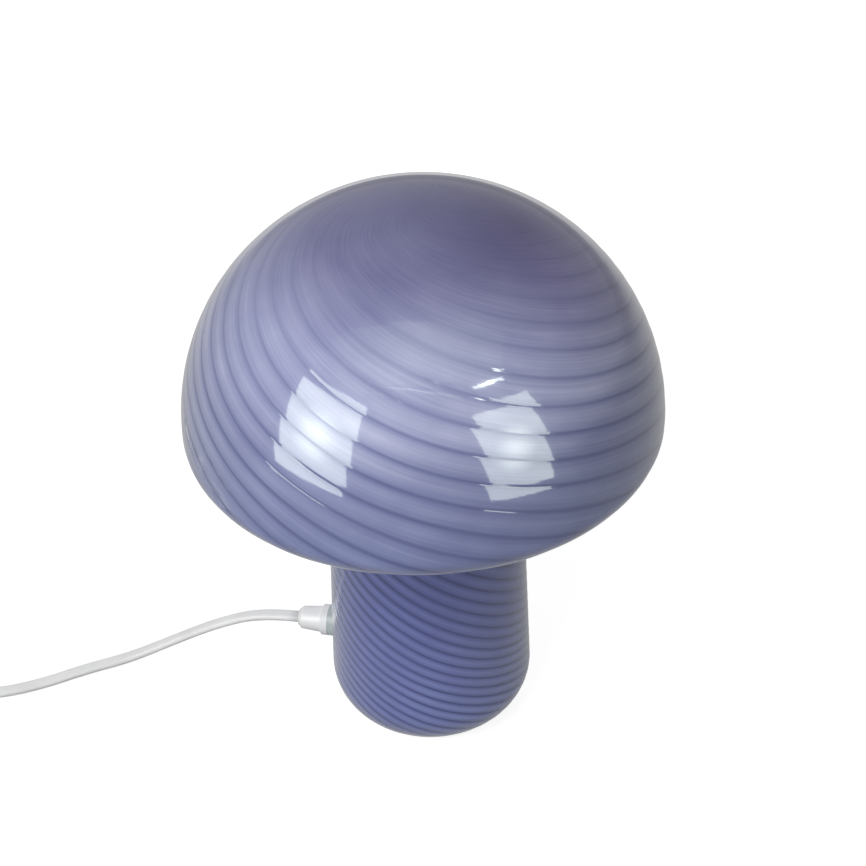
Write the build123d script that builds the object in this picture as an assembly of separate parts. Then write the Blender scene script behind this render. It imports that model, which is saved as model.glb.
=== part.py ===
from build123d import *
import os
from math import cos, pi, radians, sin, sqrt, tan

# Mushroom table lamp: one blown glass piece on a sprung base plate that carries the lamp holder.
# Millimetres, +Z up, origin on the floor under the middle of the lamp. The cord leaves towards -X.

# Glass body
CAP_RADIUS = 95.0            # widest half-width, at the equator
DOME_RISE = 92.5             # equator to the top of the cap
DOME_JOIN_ANGLE = 52.0       # up from level, where the side arc meets the flatter crown arc
EQUATOR_ABOVE_FOOT = 149.0   # ground foot to the equator
SHOULDER_RADIUS = 10.5       # round edge under the equator
UNDERSIDE_SLOPE = 20.0       # degrees from level, falling towards the stem
NECK_FILLET = 12.0           # hollow round between the underside and the stem
STEM_FOOT_RADIUS = 43.2      # side of the stem carried down to the foot
STEM_FLARE = 1.8             # degrees from upright
FOOT_ROUND = 21.5
FOOT_GRIND = 2.5             # ground off the bottom of the foot's round
GLASS_WALL = 3.5
MOUTH_RADIUS = 27.0
GROUND_CHAMFER = 0.5

# Base stack under the glass
BUMPER_THICKNESS = 1.6
BUMPER_RADIUS = 4.5
BUMPER_CIRCLE = 24.5
BUMPER_COUNT = 4
PLATE_THICKNESS = 1.0
PLATE_RADIUS = 30.5
GASKET_THICKNESS = 0.4
GASKET_INNER_MARGIN = 0.4    # gasket clear of the mouth
GASKET_WIDTH = 3.0
VENT_RADIUS = 3.5
VENT_CIRCLE = 14.5
CENTRE_VENT_RADIUS = 5.5

# Spring clips
CLIP_COUNT = 4
CLIP_FIRST_ANGLE = 45.0
CLIP_THICKNESS = 0.6
CLIP_SPREAD = 17.0           # degrees of arc
CLIP_FOOT_INNER = 17.0
CLIP_LEAD_IN = 3.5           # how far the tip leans inwards
CLIP_HEIGHT = 13.0
CLIP_BEARING = 5.0           # height of its upright part
CLIP_BEND = 1.0
CLIP_RIVET_RADIUS = 1.3
CLIP_RIVET_CIRCLE = 20.5
MOUTH_CLEARANCE = 0.06       # sprung clips against the mouth, a running fit

# Stirrup and nipple
STIRRUP_TOP = 43.4           # above the plate
STIRRUP_WIDTH = 16.0
STIRRUP_HALF_SPAN = 20.5     # middle of the sheet
STIRRUP_THICKNESS = 1.5
STIRRUP_BEND = 3.0
STIRRUP_TOE = 8.0            # inner end of each foot
STIRRUP_RIVET_RADIUS = 1.6
STIRRUP_RIVET_OFFSET = 13.0
RIVET_HEAD_HEIGHT = 0.8
RIVET_HEAD_GROWTH = 1.3      # head radius beyond the shank
RIVET_FIT = 0.02
NIPPLE_RADIUS = 4.95
NIPPLE_BORE = 3.2
NIPPLE_BELOW = 9.0
NIPPLE_ABOVE = 9.0
NIPPLE_FIT = 0.15
NUT_ACROSS_FLATS = 14.0
NUT_THICKNESS = 3.0
LOCK_WASHER_THICKNESS = 0.8
LOCK_WASHER_RADIUS = 7.5

# Lamp holder
HOLDER_RADIUS = 14.0
HOLDER_WALL = 1.6
COLLAR_RADIUS = 8.0
COLLAR_HEIGHT = 8.0
HOLDER_CAP_CONE = 8.0
HOLDER_CAP_HEIGHT = 26.0
SHELL_OVERLAP = 7.0
SHELL_WALL = 1.0
SHELL_HEIGHT = 33.0
SHELL_MOUTH = 10.9
SHELL_FIT = 0.05
INSULATOR_SEAT = 20.0        # above the holder's seat
INSULATOR_FLOOR = 4.0
INSULATOR_WALL = 2.2
INSULATOR_HEIGHT = 27.0
INSULATOR_FIT = 0.1
CONTACT_SHELL_WALL = 0.4
CONTACT_SHELL_HEIGHT = 22.0
CONTACT_SHELL_LIFT = 1.5     # above the insulator's floor
CENTRE_CONTACT_THICKNESS = 0.5
CENTRE_CONTACT_WIDTH = 5.0
CENTRE_CONTACT_LENGTH = 9.0
CENTRE_CONTACT_RISE = 1.1
TERMINAL_SCREW_RADIUS = 1.4
TERMINAL_SCREW_OFFSET = 7.5
TERMINAL_HEAD_RADIUS = 2.7
TERMINAL_HEAD_HEIGHT = 1.6

# Bulb
BULB_CAP_RADIUS = 6.95       # small screw cap
BULB_CAP_WALL = 0.45
BULB_CAP_LENGTH = 19.0
BULB_SKIRT_RADIUS = 8.2
BULB_SKIRT_HEIGHT = 3.0
BULB_SKIRT_FLARE = 4.0
THREAD_CLEARANCE = 0.07      # bulb cap in the contact shell
TIP_RADIUS = 2.4
TIP_HEIGHT = 0.9
TIP_GAP = 0.3                # tip contact above the centre contact
BEAD_HEIGHT = 2.6
ENVELOPE_RADIUS = 17.5
ENVELOPE_LENGTH = 78.0
ENVELOPE_BELLY = 30.0        # neck to the widest place
ENVELOPE_WALL = 0.8
ENVELOPE_FIT = 0.1
FILAMENT_COUNT = 4
FILAMENT_RADIUS = 0.9
FILAMENT_LENGTH = 30.0
FILAMENT_FOOT_CIRCLE = 6.5
FILAMENT_TOP_CIRCLE = 4.0
FILAMENT_START = 22.0        # above the envelope's neck
SUPPORT_WIRE_RADIUS = 0.4
GLASS_STEM_RADIUS = 2.6

# Cord grip in the side of the stem
GRIP_HEIGHT = 34.5
GRIP_FLANGE_RADIUS = 6.7
GRIP_FLANGE_THICKNESS = 3.0
GRIP_NOSE_RADIUS = 5.7
GRIP_NOSE_END_RADIUS = 4.8
GRIP_NOSE_LENGTH = 10.3
GRIP_NOSE_ROUND = 1.5
GRIP_SPIGOT_RADIUS = 4.6
GRIP_SPIGOT_LENGTH = 13.0    # inwards from the flange
HOLE_CLEARANCE = 0.4         # spigot in the drilled hole
OUTER_WASHER_THICKNESS = 2.6
INNER_WASHER_THICKNESS = 1.6
INNER_WASHER_RADIUS = 8.0
GRIP_NUT_ACROSS_FLATS = 13.0
GRIP_NUT_THICKNESS = 4.0
BUSH_WALL = 1.1
BUSH_LENGTH = 8.0
CORD_FIT = 0.15

# Cord: flat two-core, kept plain here as a round tube of the same section area
CORD_WIDTH = 5.6
CORD_THICKNESS = 3.4
CORD_LENGTH = 1800.0
COIL_RADIUS = 31.0           # middle of its turns
COIL_LAYERS = 3
COIL_CENTRE = (-303.0, 12.0)   # its outer turn passes where the tail and the plug's end reach it
COIL_EDGE = 1.7

# In-line switch, its long way along X
SWITCH_CENTRE = (-250.0, -44.0)
SWITCH_LENGTH = 62.0
SWITCH_WIDTH = 26.0
SWITCH_HEIGHT = 19.0
SWITCH_PARTING = 8.5
SWITCH_CORNER = 9.0
SWITCH_EDGE = 2.5
SWITCH_WALL = 1.8
ROCKER_RADIUS = 9.3
ROCKER_WIDTH = 12.4
ROCKER_PIVOT = 13.5
ROCKER_CROWN = 5.0           # middle of the top above the pivot
ROCKER_WING = 12.0           # degrees, each wing's rise
ROCKER_KEEL = 2.5            # underside below the pivot
ROCKER_TILT = 10.0           # degrees at rest
ROCKER_GAP = 0.25
AXLE_RADIUS = 1.5
AXLE_LENGTH = 1.8            # beyond the rocker's side
AXLE_CLEARANCE = 0.05
CHEEK_THICKNESS = 1.6
PLUNGER_RADIUS = 1.4
PLUNGER_REACH = 8.6          # below the pivot
SEESAW_PIVOT = 4.0
SEESAW_TILT = -6.0
SEESAW_HALF_LENGTH = 10.0
SEESAW_WIDTH = 5.0
SEESAW_THICKNESS = 0.6
SWITCH_CORD_REACH = 4.0      # how far the cord goes into the case
TERMINAL_THICKNESS = 0.9
TERMINAL_WIDTH = 5.0
TERMINAL_END = 22.0
TERMINAL_BLOCK = 6.0
TERMINAL_BLOCK_HEIGHT = 5.0
CASE_SCREW_RADIUS = 1.2
CASE_SCREW_HEAD = 2.4
CASE_SCREW_PLACE = (14.0, 8.2)
CASE_BOSS_RADIUS = 2.9

# Two-pin plug, lying beside the coil and pointing towards +Y
PLUG_REAR = (-274.0, 80.0)   # where the cord goes in
PLUG_WIDTH = 35.3
PLUG_THICKNESS = 13.7
PLUG_LENGTH = 36.0
PLUG_FACE_DEPTH = 12.0
PLUG_REAR_WIDTH = 15.0
PLUG_ROUND = 3.0
PLUG_SLEEVE_LENGTH = 12.0
PLUG_SLEEVE_RADIUS = 4.6
PLUG_SLEEVE_END = 3.4
PIN_RADIUS = 2.0
PIN_LENGTH = 19.0
PIN_SPACING = 18.6
PIN_ROUND = 0.8

# Heights that follow from the stack
plate_low = BUMPER_THICKNESS
plate_top = plate_low + PLATE_THICKNESS
glass_bottom = plate_top + GASKET_THICKNESS
equator = glass_bottom + EQUATOR_ABOVE_FOOT
round_bottom = glass_bottom - FOOT_GRIND
bridge_top = plate_top + STIRRUP_TOP
bridge_low = bridge_top - STIRRUP_THICKNESS
holder_seat = bridge_top
insulator_low = holder_seat + INSULATOR_SEAT
insulator_floor = insulator_low + INSULATOR_FLOOR
contact_shell_low = insulator_floor + CONTACT_SHELL_LIFT
tip_low = insulator_floor + CENTRE_CONTACT_THICKNESS + CENTRE_CONTACT_RISE + TIP_GAP
bead_low = tip_low + TIP_HEIGHT
cap_low = bead_low + BEAD_HEIGHT
cap_neck = cap_low + BULB_CAP_LENGTH
envelope_low = cap_neck + BULB_SKIRT_FLARE
cord_radius = sqrt((CORD_THICKNESS * (CORD_WIDTH - CORD_THICKNESS) + pi * CORD_THICKNESS ** 2 / 4) / pi)
cord_bore = cord_radius + CORD_FIT

STANDING = (Align.CENTER, Align.CENTER, Align.MIN)


def rod(radius, low, high):
    """Upright cylinder on the Z axis."""
    return Pos(0, 0, low) * Cylinder(radius, high - low, align=STANDING)


def tube(outer, inner, low, high):
    return rod(outer, low, high) - rod(inner, low, high)


def bar(start, end, radius):
    """Round bar between two points."""
    direction = Vector(*end) - Vector(*start)
    place = Plane(origin=start, z_dir=direction)
    return place * Cylinder(radius, direction.length, align=STANDING)


def turned(*outline):
    """Solid of revolution about Z from a closed list of (radius, height) points."""
    return revolve(Plane.XZ * make_face(Polyline(*outline, close=True)), Axis.Z)


def around(count, first=0.0):
    """Even angles round the Z axis, in degrees."""
    return [first + 360.0 * index / count for index in range(count)]


def polar(radius, angle, height=0.0):
    return (radius * cos(radians(angle)), radius * sin(radians(angle)), height)


def stem_radius(height):
    """Outer radius of the stem's straight side."""
    return STEM_FOOT_RADIUS - (height - round_bottom) * tan(radians(STEM_FLARE))


# ---------------------------------------------------------------- glass body

def glass_section(inset):
    """Half-section of the blown form, its outline moved inwards by inset."""
    slope = radians(UNDERSIDE_SLOPE)
    flare = radians(STEM_FLARE)
    width = CAP_RADIUS - inset
    shoulder = SHOULDER_RADIUS - inset
    turn = 90.0 - UNDERSIDE_SLOPE
    centre_x = width - shoulder
    shoulder_end = (centre_x + shoulder * cos(radians(turn)), equator - shoulder * sin(radians(turn)))
    bottom = round_bottom + inset
    foot_radius = STEM_FOOT_RADIUS - inset / cos(flare) - inset * tan(flare)
    # where the underside's line meets the stem's line
    fall = tan(slope)
    lean = tan(flare)
    neck_z = (shoulder_end[1] - fall * (shoulder_end[0] - foot_radius - bottom * lean)) / (1 + fall * lean)
    neck = (foot_radius - (neck_z - bottom) * lean, neck_z)
    # side arc, then a crown arc centred on the axis and tangent to it
    join = radians(DOME_JOIN_ANGLE)
    share = 1 / cos(join) - tan(join)
    side_radius = (DOME_RISE - share * CAP_RADIUS) / (1 - share)
    side_x = CAP_RADIUS - side_radius
    crown_drop = side_x * tan(join)
    side = CenterArc((side_x, equator), side_radius - inset, start_angle=0, arc_size=DOME_JOIN_ANGLE)
    crown = CenterArc((0, equator - crown_drop), DOME_RISE + crown_drop - inset,
                      start_angle=DOME_JOIN_ANGLE, arc_size=90 - DOME_JOIN_ANGLE)
    edge = CenterArc((centre_x, equator), shoulder, start_angle=-turn, arc_size=turn)
    rest = FilletPolyline(shoulder_end, neck, (foot_radius, bottom), (0, bottom),
                          radius=[NECK_FILLET + inset, FOOT_ROUND - inset])
    axis = Line((0, bottom), (0, equator + DOME_RISE - inset))
    return Plane.XZ * make_face([side, crown, edge, rest, axis])


def glass_form(inset):
    return revolve(glass_section(inset), Axis.Z)


def side_place(radius):
    """Plane on the cord side, its normal pointing out along the grip."""
    return Plane(origin=(-radius, 0, GRIP_HEIGHT), x_dir=(0, 1, 0), z_dir=(-1, 0, 0))


grip_seat = stem_radius(GRIP_HEIGHT)          # glass surface on the grip's axis
flange_face = grip_seat + OUTER_WASHER_THICKNESS
nose_end = flange_face + GRIP_FLANGE_THICKNESS + GRIP_NOSE_LENGTH
hole_radius = GRIP_SPIGOT_RADIUS + HOLE_CLEARANCE


def grip_hole():
    return side_place(0) * Cylinder(hole_radius, 2 * grip_seat, align=STANDING)


def make_glass_body():
    """Blown wall, its foot ground flat, with the mouth cut out and the grip's hole drilled."""
    ground_off = Polyline((0, 0), (CAP_RADIUS, 0), (CAP_RADIUS, glass_bottom),
                          (MOUTH_RADIUS + GROUND_CHAMFER, glass_bottom),
                          (MOUTH_RADIUS, glass_bottom + GROUND_CHAMFER),
                          (MOUTH_RADIUS, round_bottom + FOOT_ROUND), (0, round_bottom + FOOT_ROUND), close=True)
    section = glass_section(0) - glass_section(GLASS_WALL) - Plane.XZ * make_face(ground_off)
    return revolve(section, Axis.Z) - grip_hole()


# ---------------------------------------------------------------- cord grip

def make_cord_grip():
    place = side_place(flange_face)
    flange = place * Cylinder(GRIP_FLANGE_RADIUS, GRIP_FLANGE_THICKNESS, align=STANDING)
    nose = place * Pos(0, 0, GRIP_FLANGE_THICKNESS) * Cone(
        GRIP_NOSE_RADIUS, GRIP_NOSE_END_RADIUS, GRIP_NOSE_LENGTH, align=STANDING)
    nose = chamfer(nose.edges().group_by(Axis.X)[0], GRIP_NOSE_ROUND)
    flange = chamfer(flange.edges().group_by(Axis.X)[0], 0.4)
    spigot = side_place(flange_face - GRIP_SPIGOT_LENGTH) * Cylinder(
        GRIP_SPIGOT_RADIUS, GRIP_SPIGOT_LENGTH, align=STANDING)
    body = flange + nose + spigot
    bore = side_place(0) * Cylinder(cord_bore, nose_end + 1, align=STANDING)
    bush_seat = side_place(nose_end - BUSH_LENGTH) * Cylinder(
        cord_bore + BUSH_WALL, BUSH_LENGTH + 1, align=STANDING)
    return body - bore - bush_seat


def make_grip_bush():
    place = side_place(nose_end - BUSH_LENGTH)
    return (place * Cylinder(cord_bore + BUSH_WALL, BUSH_LENGTH, align=STANDING)
            - place * Cylinder(cord_bore, BUSH_LENGTH, align=STANDING))


def make_outer_washer():
    """Soft washer that takes the curve of the glass."""
    inward = grip_seat - GLASS_WALL
    blank = side_place(inward) * Cylinder(GRIP_FLANGE_RADIUS, flange_face - inward, align=STANDING)
    return blank - glass_form(0) - grip_hole()


def make_inner_washer():
    back = grip_seat - GLASS_WALL - INNER_WASHER_THICKNESS
    blank = side_place(back) * Cylinder(INNER_WASHER_RADIUS, INNER_WASHER_THICKNESS + 1, align=STANDING)
    return (blank & glass_form(GLASS_WALL)) - grip_hole()


def make_grip_nut():
    back = grip_seat - GLASS_WALL - INNER_WASHER_THICKNESS - GRIP_NUT_THICKNESS
    place = side_place(back)
    hexagon = extrude(place * RegularPolygon(GRIP_NUT_ACROSS_FLATS / 2, 6, major_radius=False),
                      GRIP_NUT_THICKNESS)
    return hexagon - place * Cylinder(GRIP_SPIGOT_RADIUS, GRIP_NUT_THICKNESS, align=STANDING)


# ---------------------------------------------------------------- base plate, gasket, feet, clips

def stirrup_rivet_places():
    return [(0, side * STIRRUP_RIVET_OFFSET) for side in (-1, 1)]


def make_base_plate():
    plate = rod(PLATE_RADIUS, plate_low, plate_top)
    plate = chamfer(plate.edges(), PLATE_THICKNESS / 4)
    plate -= rod(CENTRE_VENT_RADIUS, plate_low, plate_top)
    for angle in around(2):
        plate -= Pos(*polar(VENT_CIRCLE, angle)) * rod(VENT_RADIUS, plate_low, plate_top)
    for x, y in stirrup_rivet_places():
        plate -= Pos(x, y, 0) * rod(STIRRUP_RIVET_RADIUS + RIVET_FIT, plate_low, plate_top)
    for angle in around(CLIP_COUNT, CLIP_FIRST_ANGLE):
        plate -= Pos(*polar(CLIP_RIVET_CIRCLE, angle)) * rod(CLIP_RIVET_RADIUS + RIVET_FIT, plate_low, plate_top)
    return plate


def make_gasket():
    inner = MOUTH_RADIUS + GASKET_INNER_MARGIN
    return tube(inner + GASKET_WIDTH, inner, plate_top, glass_bottom)


def make_bumper(angle):
    pad = Cylinder(BUMPER_RADIUS, BUMPER_THICKNESS, align=STANDING)
    pad = chamfer(pad.edges().group_by(Axis.Z)[0], BUMPER_THICKNESS / 3)
    return Pos(*polar(BUMPER_CIRCLE, angle)) * pad


def make_clip(angle):
    """Sprung strip curved to the mouth: foot, upright bearing part, lead-in that leans inwards."""
    middle = MOUTH_RADIUS - MOUTH_CLEARANCE - CLIP_THICKNESS / 2
    foot = plate_top + CLIP_THICKNESS / 2
    path = FilletPolyline((CLIP_FOOT_INNER, foot), (middle, foot), (middle, plate_top + CLIP_BEARING),
                          (middle - CLIP_LEAD_IN, plate_top + CLIP_HEIGHT), radius=CLIP_BEND)
    section = Plane.XZ * trace(path, CLIP_THICKNESS)
    strip = Rot(0, 0, -CLIP_SPREAD / 2) * revolve(section, Axis.Z, CLIP_SPREAD)
    hole = Pos(CLIP_RIVET_CIRCLE, 0, 0) * rod(CLIP_RIVET_RADIUS + RIVET_FIT, plate_low, plate_top + CLIP_HEIGHT)
    return Rot(0, 0, angle) * (strip - hole)


def rivet(radius, low, high):
    """Shank between two low heads."""
    head = radius + RIVET_HEAD_GROWTH
    shoulder = RIVET_HEAD_HEIGHT / 2
    return turned((0, low - RIVET_HEAD_HEIGHT), (head / 2, low - RIVET_HEAD_HEIGHT), (head, low - shoulder),
                  (head, low), (radius, low), (radius, high), (head, high), (head, high + shoulder),
                  (head / 2, high + RIVET_HEAD_HEIGHT), (0, high + RIVET_HEAD_HEIGHT))


def make_clip_rivets():
    one = rivet(CLIP_RIVET_RADIUS, plate_low, plate_top + CLIP_THICKNESS)
    return Compound(children=[Pos(*polar(CLIP_RIVET_CIRCLE, angle)) * one
                              for angle in around(CLIP_COUNT, CLIP_FIRST_ANGLE)])


# ---------------------------------------------------------------- stirrup, nipple, nut

def make_stirrup():
    foot = plate_top + STIRRUP_THICKNESS / 2
    top = bridge_top - STIRRUP_THICKNESS / 2
    side = STIRRUP_HALF_SPAN
    path = FilletPolyline((STIRRUP_TOE, foot), (side, foot), (side, top), (-side, top), (-side, foot),
                          (-STIRRUP_TOE, foot), radius=STIRRUP_BEND)
    section = Plane.YZ * trace(path, STIRRUP_THICKNESS)
    strip = extrude(section, STIRRUP_WIDTH / 2, both=True)
    strip -= rod(NIPPLE_RADIUS + NIPPLE_FIT, bridge_low - 1, bridge_top + 1)
    for x, y in stirrup_rivet_places():
        strip -= Pos(x, y, 0) * rod(STIRRUP_RIVET_RADIUS + RIVET_FIT, plate_top, plate_top + STIRRUP_THICKNESS)
    return strip


def make_stirrup_rivets():
    one = rivet(STIRRUP_RIVET_RADIUS, plate_low, plate_top + STIRRUP_THICKNESS)
    return Compound(children=[Pos(x, y, 0) * one for x, y in stirrup_rivet_places()])


def make_nipple():
    return tube(NIPPLE_RADIUS, NIPPLE_BORE, bridge_low - NIPPLE_BELOW, bridge_top + NIPPLE_ABOVE)


def make_lock_washer():
    return tube(LOCK_WASHER_RADIUS, NIPPLE_RADIUS + NIPPLE_FIT, bridge_low - LOCK_WASHER_THICKNESS, bridge_low)


def make_nipple_nut():
    high = bridge_low - LOCK_WASHER_THICKNESS
    low = high - NUT_THICKNESS
    hexagon = extrude(Pos(0, 0, low) * RegularPolygon(NUT_ACROSS_FLATS / 2, 6, major_radius=False), NUT_THICKNESS)
    return hexagon - rod(NIPPLE_RADIUS, low, high)


# ---------------------------------------------------------------- lamp holder

insulator_bore = BULB_CAP_RADIUS + THREAD_CLEARANCE + CONTACT_SHELL_WALL
shell_low = holder_seat + HOLDER_CAP_HEIGHT - SHELL_OVERLAP


def make_holder_cap():
    """Bottom cap: threaded collar, cone and straight skirt, all of one wall."""
    cone_low = holder_seat + COLLAR_HEIGHT
    cone_high = cone_low + HOLDER_CAP_CONE
    top = holder_seat + HOLDER_CAP_HEIGHT
    inner = HOLDER_RADIUS - HOLDER_WALL
    return turned((NIPPLE_RADIUS, holder_seat), (COLLAR_RADIUS, holder_seat), (COLLAR_RADIUS, cone_low),
                  (HOLDER_RADIUS, cone_high), (HOLDER_RADIUS, top), (inner, top), (inner, insulator_low),
                  (inner - HOLDER_WALL / 2, insulator_low), (inner - HOLDER_WALL / 2, cone_high + HOLDER_WALL / 2),
                  (COLLAR_RADIUS - HOLDER_WALL / 2, cone_low + HOLDER_WALL), (NIPPLE_RADIUS, cone_low + HOLDER_WALL))


def make_holder_shell():
    """Outer shell that screws over the cap and closes in to a round mouth."""
    inner = HOLDER_RADIUS + SHELL_FIT
    outer = inner + SHELL_WALL
    overlap_top = shell_low + SHELL_OVERLAP
    top = shell_low + SHELL_HEIGHT
    bore = HOLDER_RADIUS - SHELL_WALL
    return turned((inner, shell_low), (outer, shell_low), (outer, top - SHELL_WALL), (outer - SHELL_WALL, top),
                  (SHELL_MOUTH, top), (SHELL_MOUTH, top - SHELL_WALL), (bore, top - SHELL_WALL),
                  (bore, overlap_top), (inner, overlap_top))


def make_holder_insulator():
    """Disc on the cap's inner step, with a sleeve round the threaded contact."""
    disc = rod(HOLDER_RADIUS - HOLDER_WALL - INSULATOR_FIT, insulator_low, insulator_floor)
    sleeve = tube(insulator_bore + INSULATOR_WALL, insulator_bore, insulator_floor, insulator_low + INSULATOR_HEIGHT)
    body = disc + sleeve
    for side in (-1, 1):
        hole = rod(TERMINAL_SCREW_RADIUS, insulator_low, insulator_floor - 1)
        body -= Pos(side * TERMINAL_SCREW_OFFSET, 0, 0) * hole
    return body


def make_contact_shell():
    """Threaded contact: smooth sleeve on a collar that sits on the insulator's floor."""
    inner = insulator_bore - CONTACT_SHELL_WALL
    sleeve = tube(insulator_bore, inner, contact_shell_low, contact_shell_low + CONTACT_SHELL_HEIGHT)
    collar = tube(insulator_bore, inner, insulator_floor, contact_shell_low)
    return sleeve + collar


def make_centre_contact():
    """Leaf spring: flat foot on the insulator, cranked up to the middle."""
    low = insulator_floor + CENTRE_CONTACT_THICKNESS / 2
    high = low + CENTRE_CONTACT_RISE
    half = CENTRE_CONTACT_LENGTH / 2
    path = FilletPolyline((-half, low), (-half / 2, low), (-TIP_RADIUS / 2, high), (half / 2, high),
                          radius=CENTRE_CONTACT_THICKNESS)
    section = Plane.XZ * trace(path, CENTRE_CONTACT_THICKNESS)
    return extrude(section, CENTRE_CONTACT_WIDTH / 2, both=True)


def make_terminal_screws():
    one = rod(TERMINAL_SCREW_RADIUS, insulator_low, insulator_floor - 1)
    one += rod(TERMINAL_HEAD_RADIUS, insulator_low - TERMINAL_HEAD_HEIGHT, insulator_low)
    return Compound(children=[Pos(side * TERMINAL_SCREW_OFFSET, 0, 0) * one for side in (-1, 1)])


# ---------------------------------------------------------------- bulb

def make_tip_contact():
    return turned((0, tip_low), (TIP_RADIUS * 0.6, tip_low), (TIP_RADIUS, tip_low + TIP_HEIGHT / 2),
                  (TIP_RADIUS, bead_low), (0, bead_low))


def make_bulb_bead():
    """Insulating bead between the tip contact and the screw cap."""
    rim = BULB_CAP_RADIUS - BULB_CAP_WALL
    return turned((0, bead_low), (TIP_RADIUS + 0.8, bead_low), (rim, cap_low), (rim, cap_low + 1), (0, cap_low + 1))


def make_screw_cap():
    inner = BULB_CAP_RADIUS - BULB_CAP_WALL
    skirt_inner = BULB_SKIRT_RADIUS - BULB_CAP_WALL
    skirt_high = envelope_low + BULB_SKIRT_HEIGHT
    return turned((inner, cap_low), (BULB_CAP_RADIUS, cap_low + BULB_CAP_WALL), (BULB_CAP_RADIUS, cap_neck),
                  (BULB_SKIRT_RADIUS, envelope_low), (BULB_SKIRT_RADIUS, skirt_high), (skirt_inner, skirt_high),
                  (skirt_inner, envelope_low), (inner, cap_neck))


def envelope_form(inset):
    """Candle-shaped glass: neck, belly and a drawn-in tip."""
    neck = BULB_SKIRT_RADIUS - BULB_CAP_WALL - ENVELOPE_FIT - inset
    low = envelope_low + (inset if inset else ENVELOPE_FIT)
    top = envelope_low + ENVELOPE_LENGTH - inset
    belly = ENVELOPE_RADIUS - inset
    widest = (belly, envelope_low + ENVELOPE_BELLY)
    swell = TangentArc(widest, (neck, envelope_low + BULB_SKIRT_HEIGHT), tangent=(0, -1))
    taper = TangentArc(widest, (0, top), tangent=(0, 1))
    sides = Polyline((0, top), (0, low), (neck, low), (neck, envelope_low + BULB_SKIRT_HEIGHT))
    return revolve(Plane.XZ * make_face([swell, taper, sides]), Axis.Z)


def make_envelope():
    return envelope_form(0.0) - envelope_form(ENVELOPE_WALL)


filament_low = envelope_low + FILAMENT_START
filament_high = filament_low + FILAMENT_LENGTH


def make_glass_stem():
    """Flared seal in the neck that carries the wires."""
    flare = BULB_SKIRT_RADIUS - BULB_CAP_WALL - ENVELOPE_FIT - 1.5 * ENVELOPE_WALL
    low = envelope_low + ENVELOPE_WALL
    return turned((0, low), (flare, low), (flare, low + 1), (GLASS_STEM_RADIUS, low + 7),
                  (GLASS_STEM_RADIUS, filament_low - 6), (SUPPORT_WIRE_RADIUS * 2, filament_low - 2),
                  (0, filament_low - 2))


def make_filament_supports():
    """Middle wire with a star of wires at the foot and at the top."""
    star = rod(SUPPORT_WIRE_RADIUS, filament_low - 2, filament_high)
    for angle in around(FILAMENT_COUNT, 45):
        foot_level = filament_low - SUPPORT_WIRE_RADIUS - 0.1
        star += bar((0, 0, foot_level), polar(FILAMENT_FOOT_CIRCLE, angle, foot_level), SUPPORT_WIRE_RADIUS)
        star += bar((0, 0, filament_high - SUPPORT_WIRE_RADIUS),
                    polar(FILAMENT_TOP_CIRCLE, angle, filament_high + SUPPORT_WIRE_RADIUS), SUPPORT_WIRE_RADIUS)
    return star


def make_filaments():
    rods = []
    for angle in around(FILAMENT_COUNT, 45):
        foot = polar(FILAMENT_FOOT_CIRCLE, angle, filament_low)
        top = polar(FILAMENT_TOP_CIRCLE, angle, filament_high)
        rods.append(bar(foot, top, FILAMENT_RADIUS))
    return Compound(children=rods)


# ---------------------------------------------------------------- cord

def cord_tube(name, points, radius=None):
    """Tube of straight runs joined by arcs as large as their runs allow."""
    vectors = [Vector(*point) for point in points]
    runs = [b - a for a, b in zip(vectors, vectors[1:])]
    radii = []
    for before, after in zip(runs, runs[1:]):
        half_turn = radians(before.get_angle(after)) / 2
        radii.append(0.45 * min(before.length, after.length) / tan(half_turn))
    path = FilletPolyline(*points, radius=radii)
    start = Plane(origin=points[0], z_dir=runs[0])
    solid = sweep(start * Circle(radius or cord_radius), path=path)
    section = pi * (radius or cord_radius) ** 2
    print(name, "length", round(path.length, 1), "radii", [round(value) for value in radii],
          "volume over section times length", round(solid.volume / section / path.length, 4))
    return solid, path.length


switch_x, switch_y = SWITCH_CENTRE
switch_entry = switch_x + SWITCH_LENGTH / 2
switch_exit = switch_x - SWITCH_LENGTH / 2
floor_z = cord_radius + 0.1

LEAD_POINTS = [
    (-nose_end, 0.0, GRIP_HEIGHT),
    (-75.0, 0.0, GRIP_HEIGHT),
    (-97.0, -0.2, 25.0),
    (-119.0, -0.8, 11.8),
    (-138.0, -4.4, floor_z),
    (-155.0, -14.6, floor_z),
    (-172.0, -27.4, floor_z),
    (-189.0, -37.6, 3.8),
    (-205.0, -43.2, 7.4),
    (switch_entry + 2.0, switch_y, SWITCH_PARTING),
    (switch_entry - SWITCH_CORD_REACH, switch_y, SWITCH_PARTING),
]
TAIL_POINTS = [
    (switch_exit + SWITCH_CORD_REACH, switch_y, SWITCH_PARTING),
    (-297.0, -44.3, 7.7),
    (-313.5, -41.0, 5.4),
    (-327.0, -31.6, 3.4),
    (-335.6, -18.6, 2.7),
    (-338.4, -3.6, 2.6),
]
plug_axis = PLUG_THICKNESS / 2
END_POINTS = [
    (-306.9, 51.2, 4.6),
    (-285.7, 51.0, 5.4),
    (PLUG_REAR[0], 62.7, plug_axis),
    (PLUG_REAR[0], PLUG_REAR[1], plug_axis),
]
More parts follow.
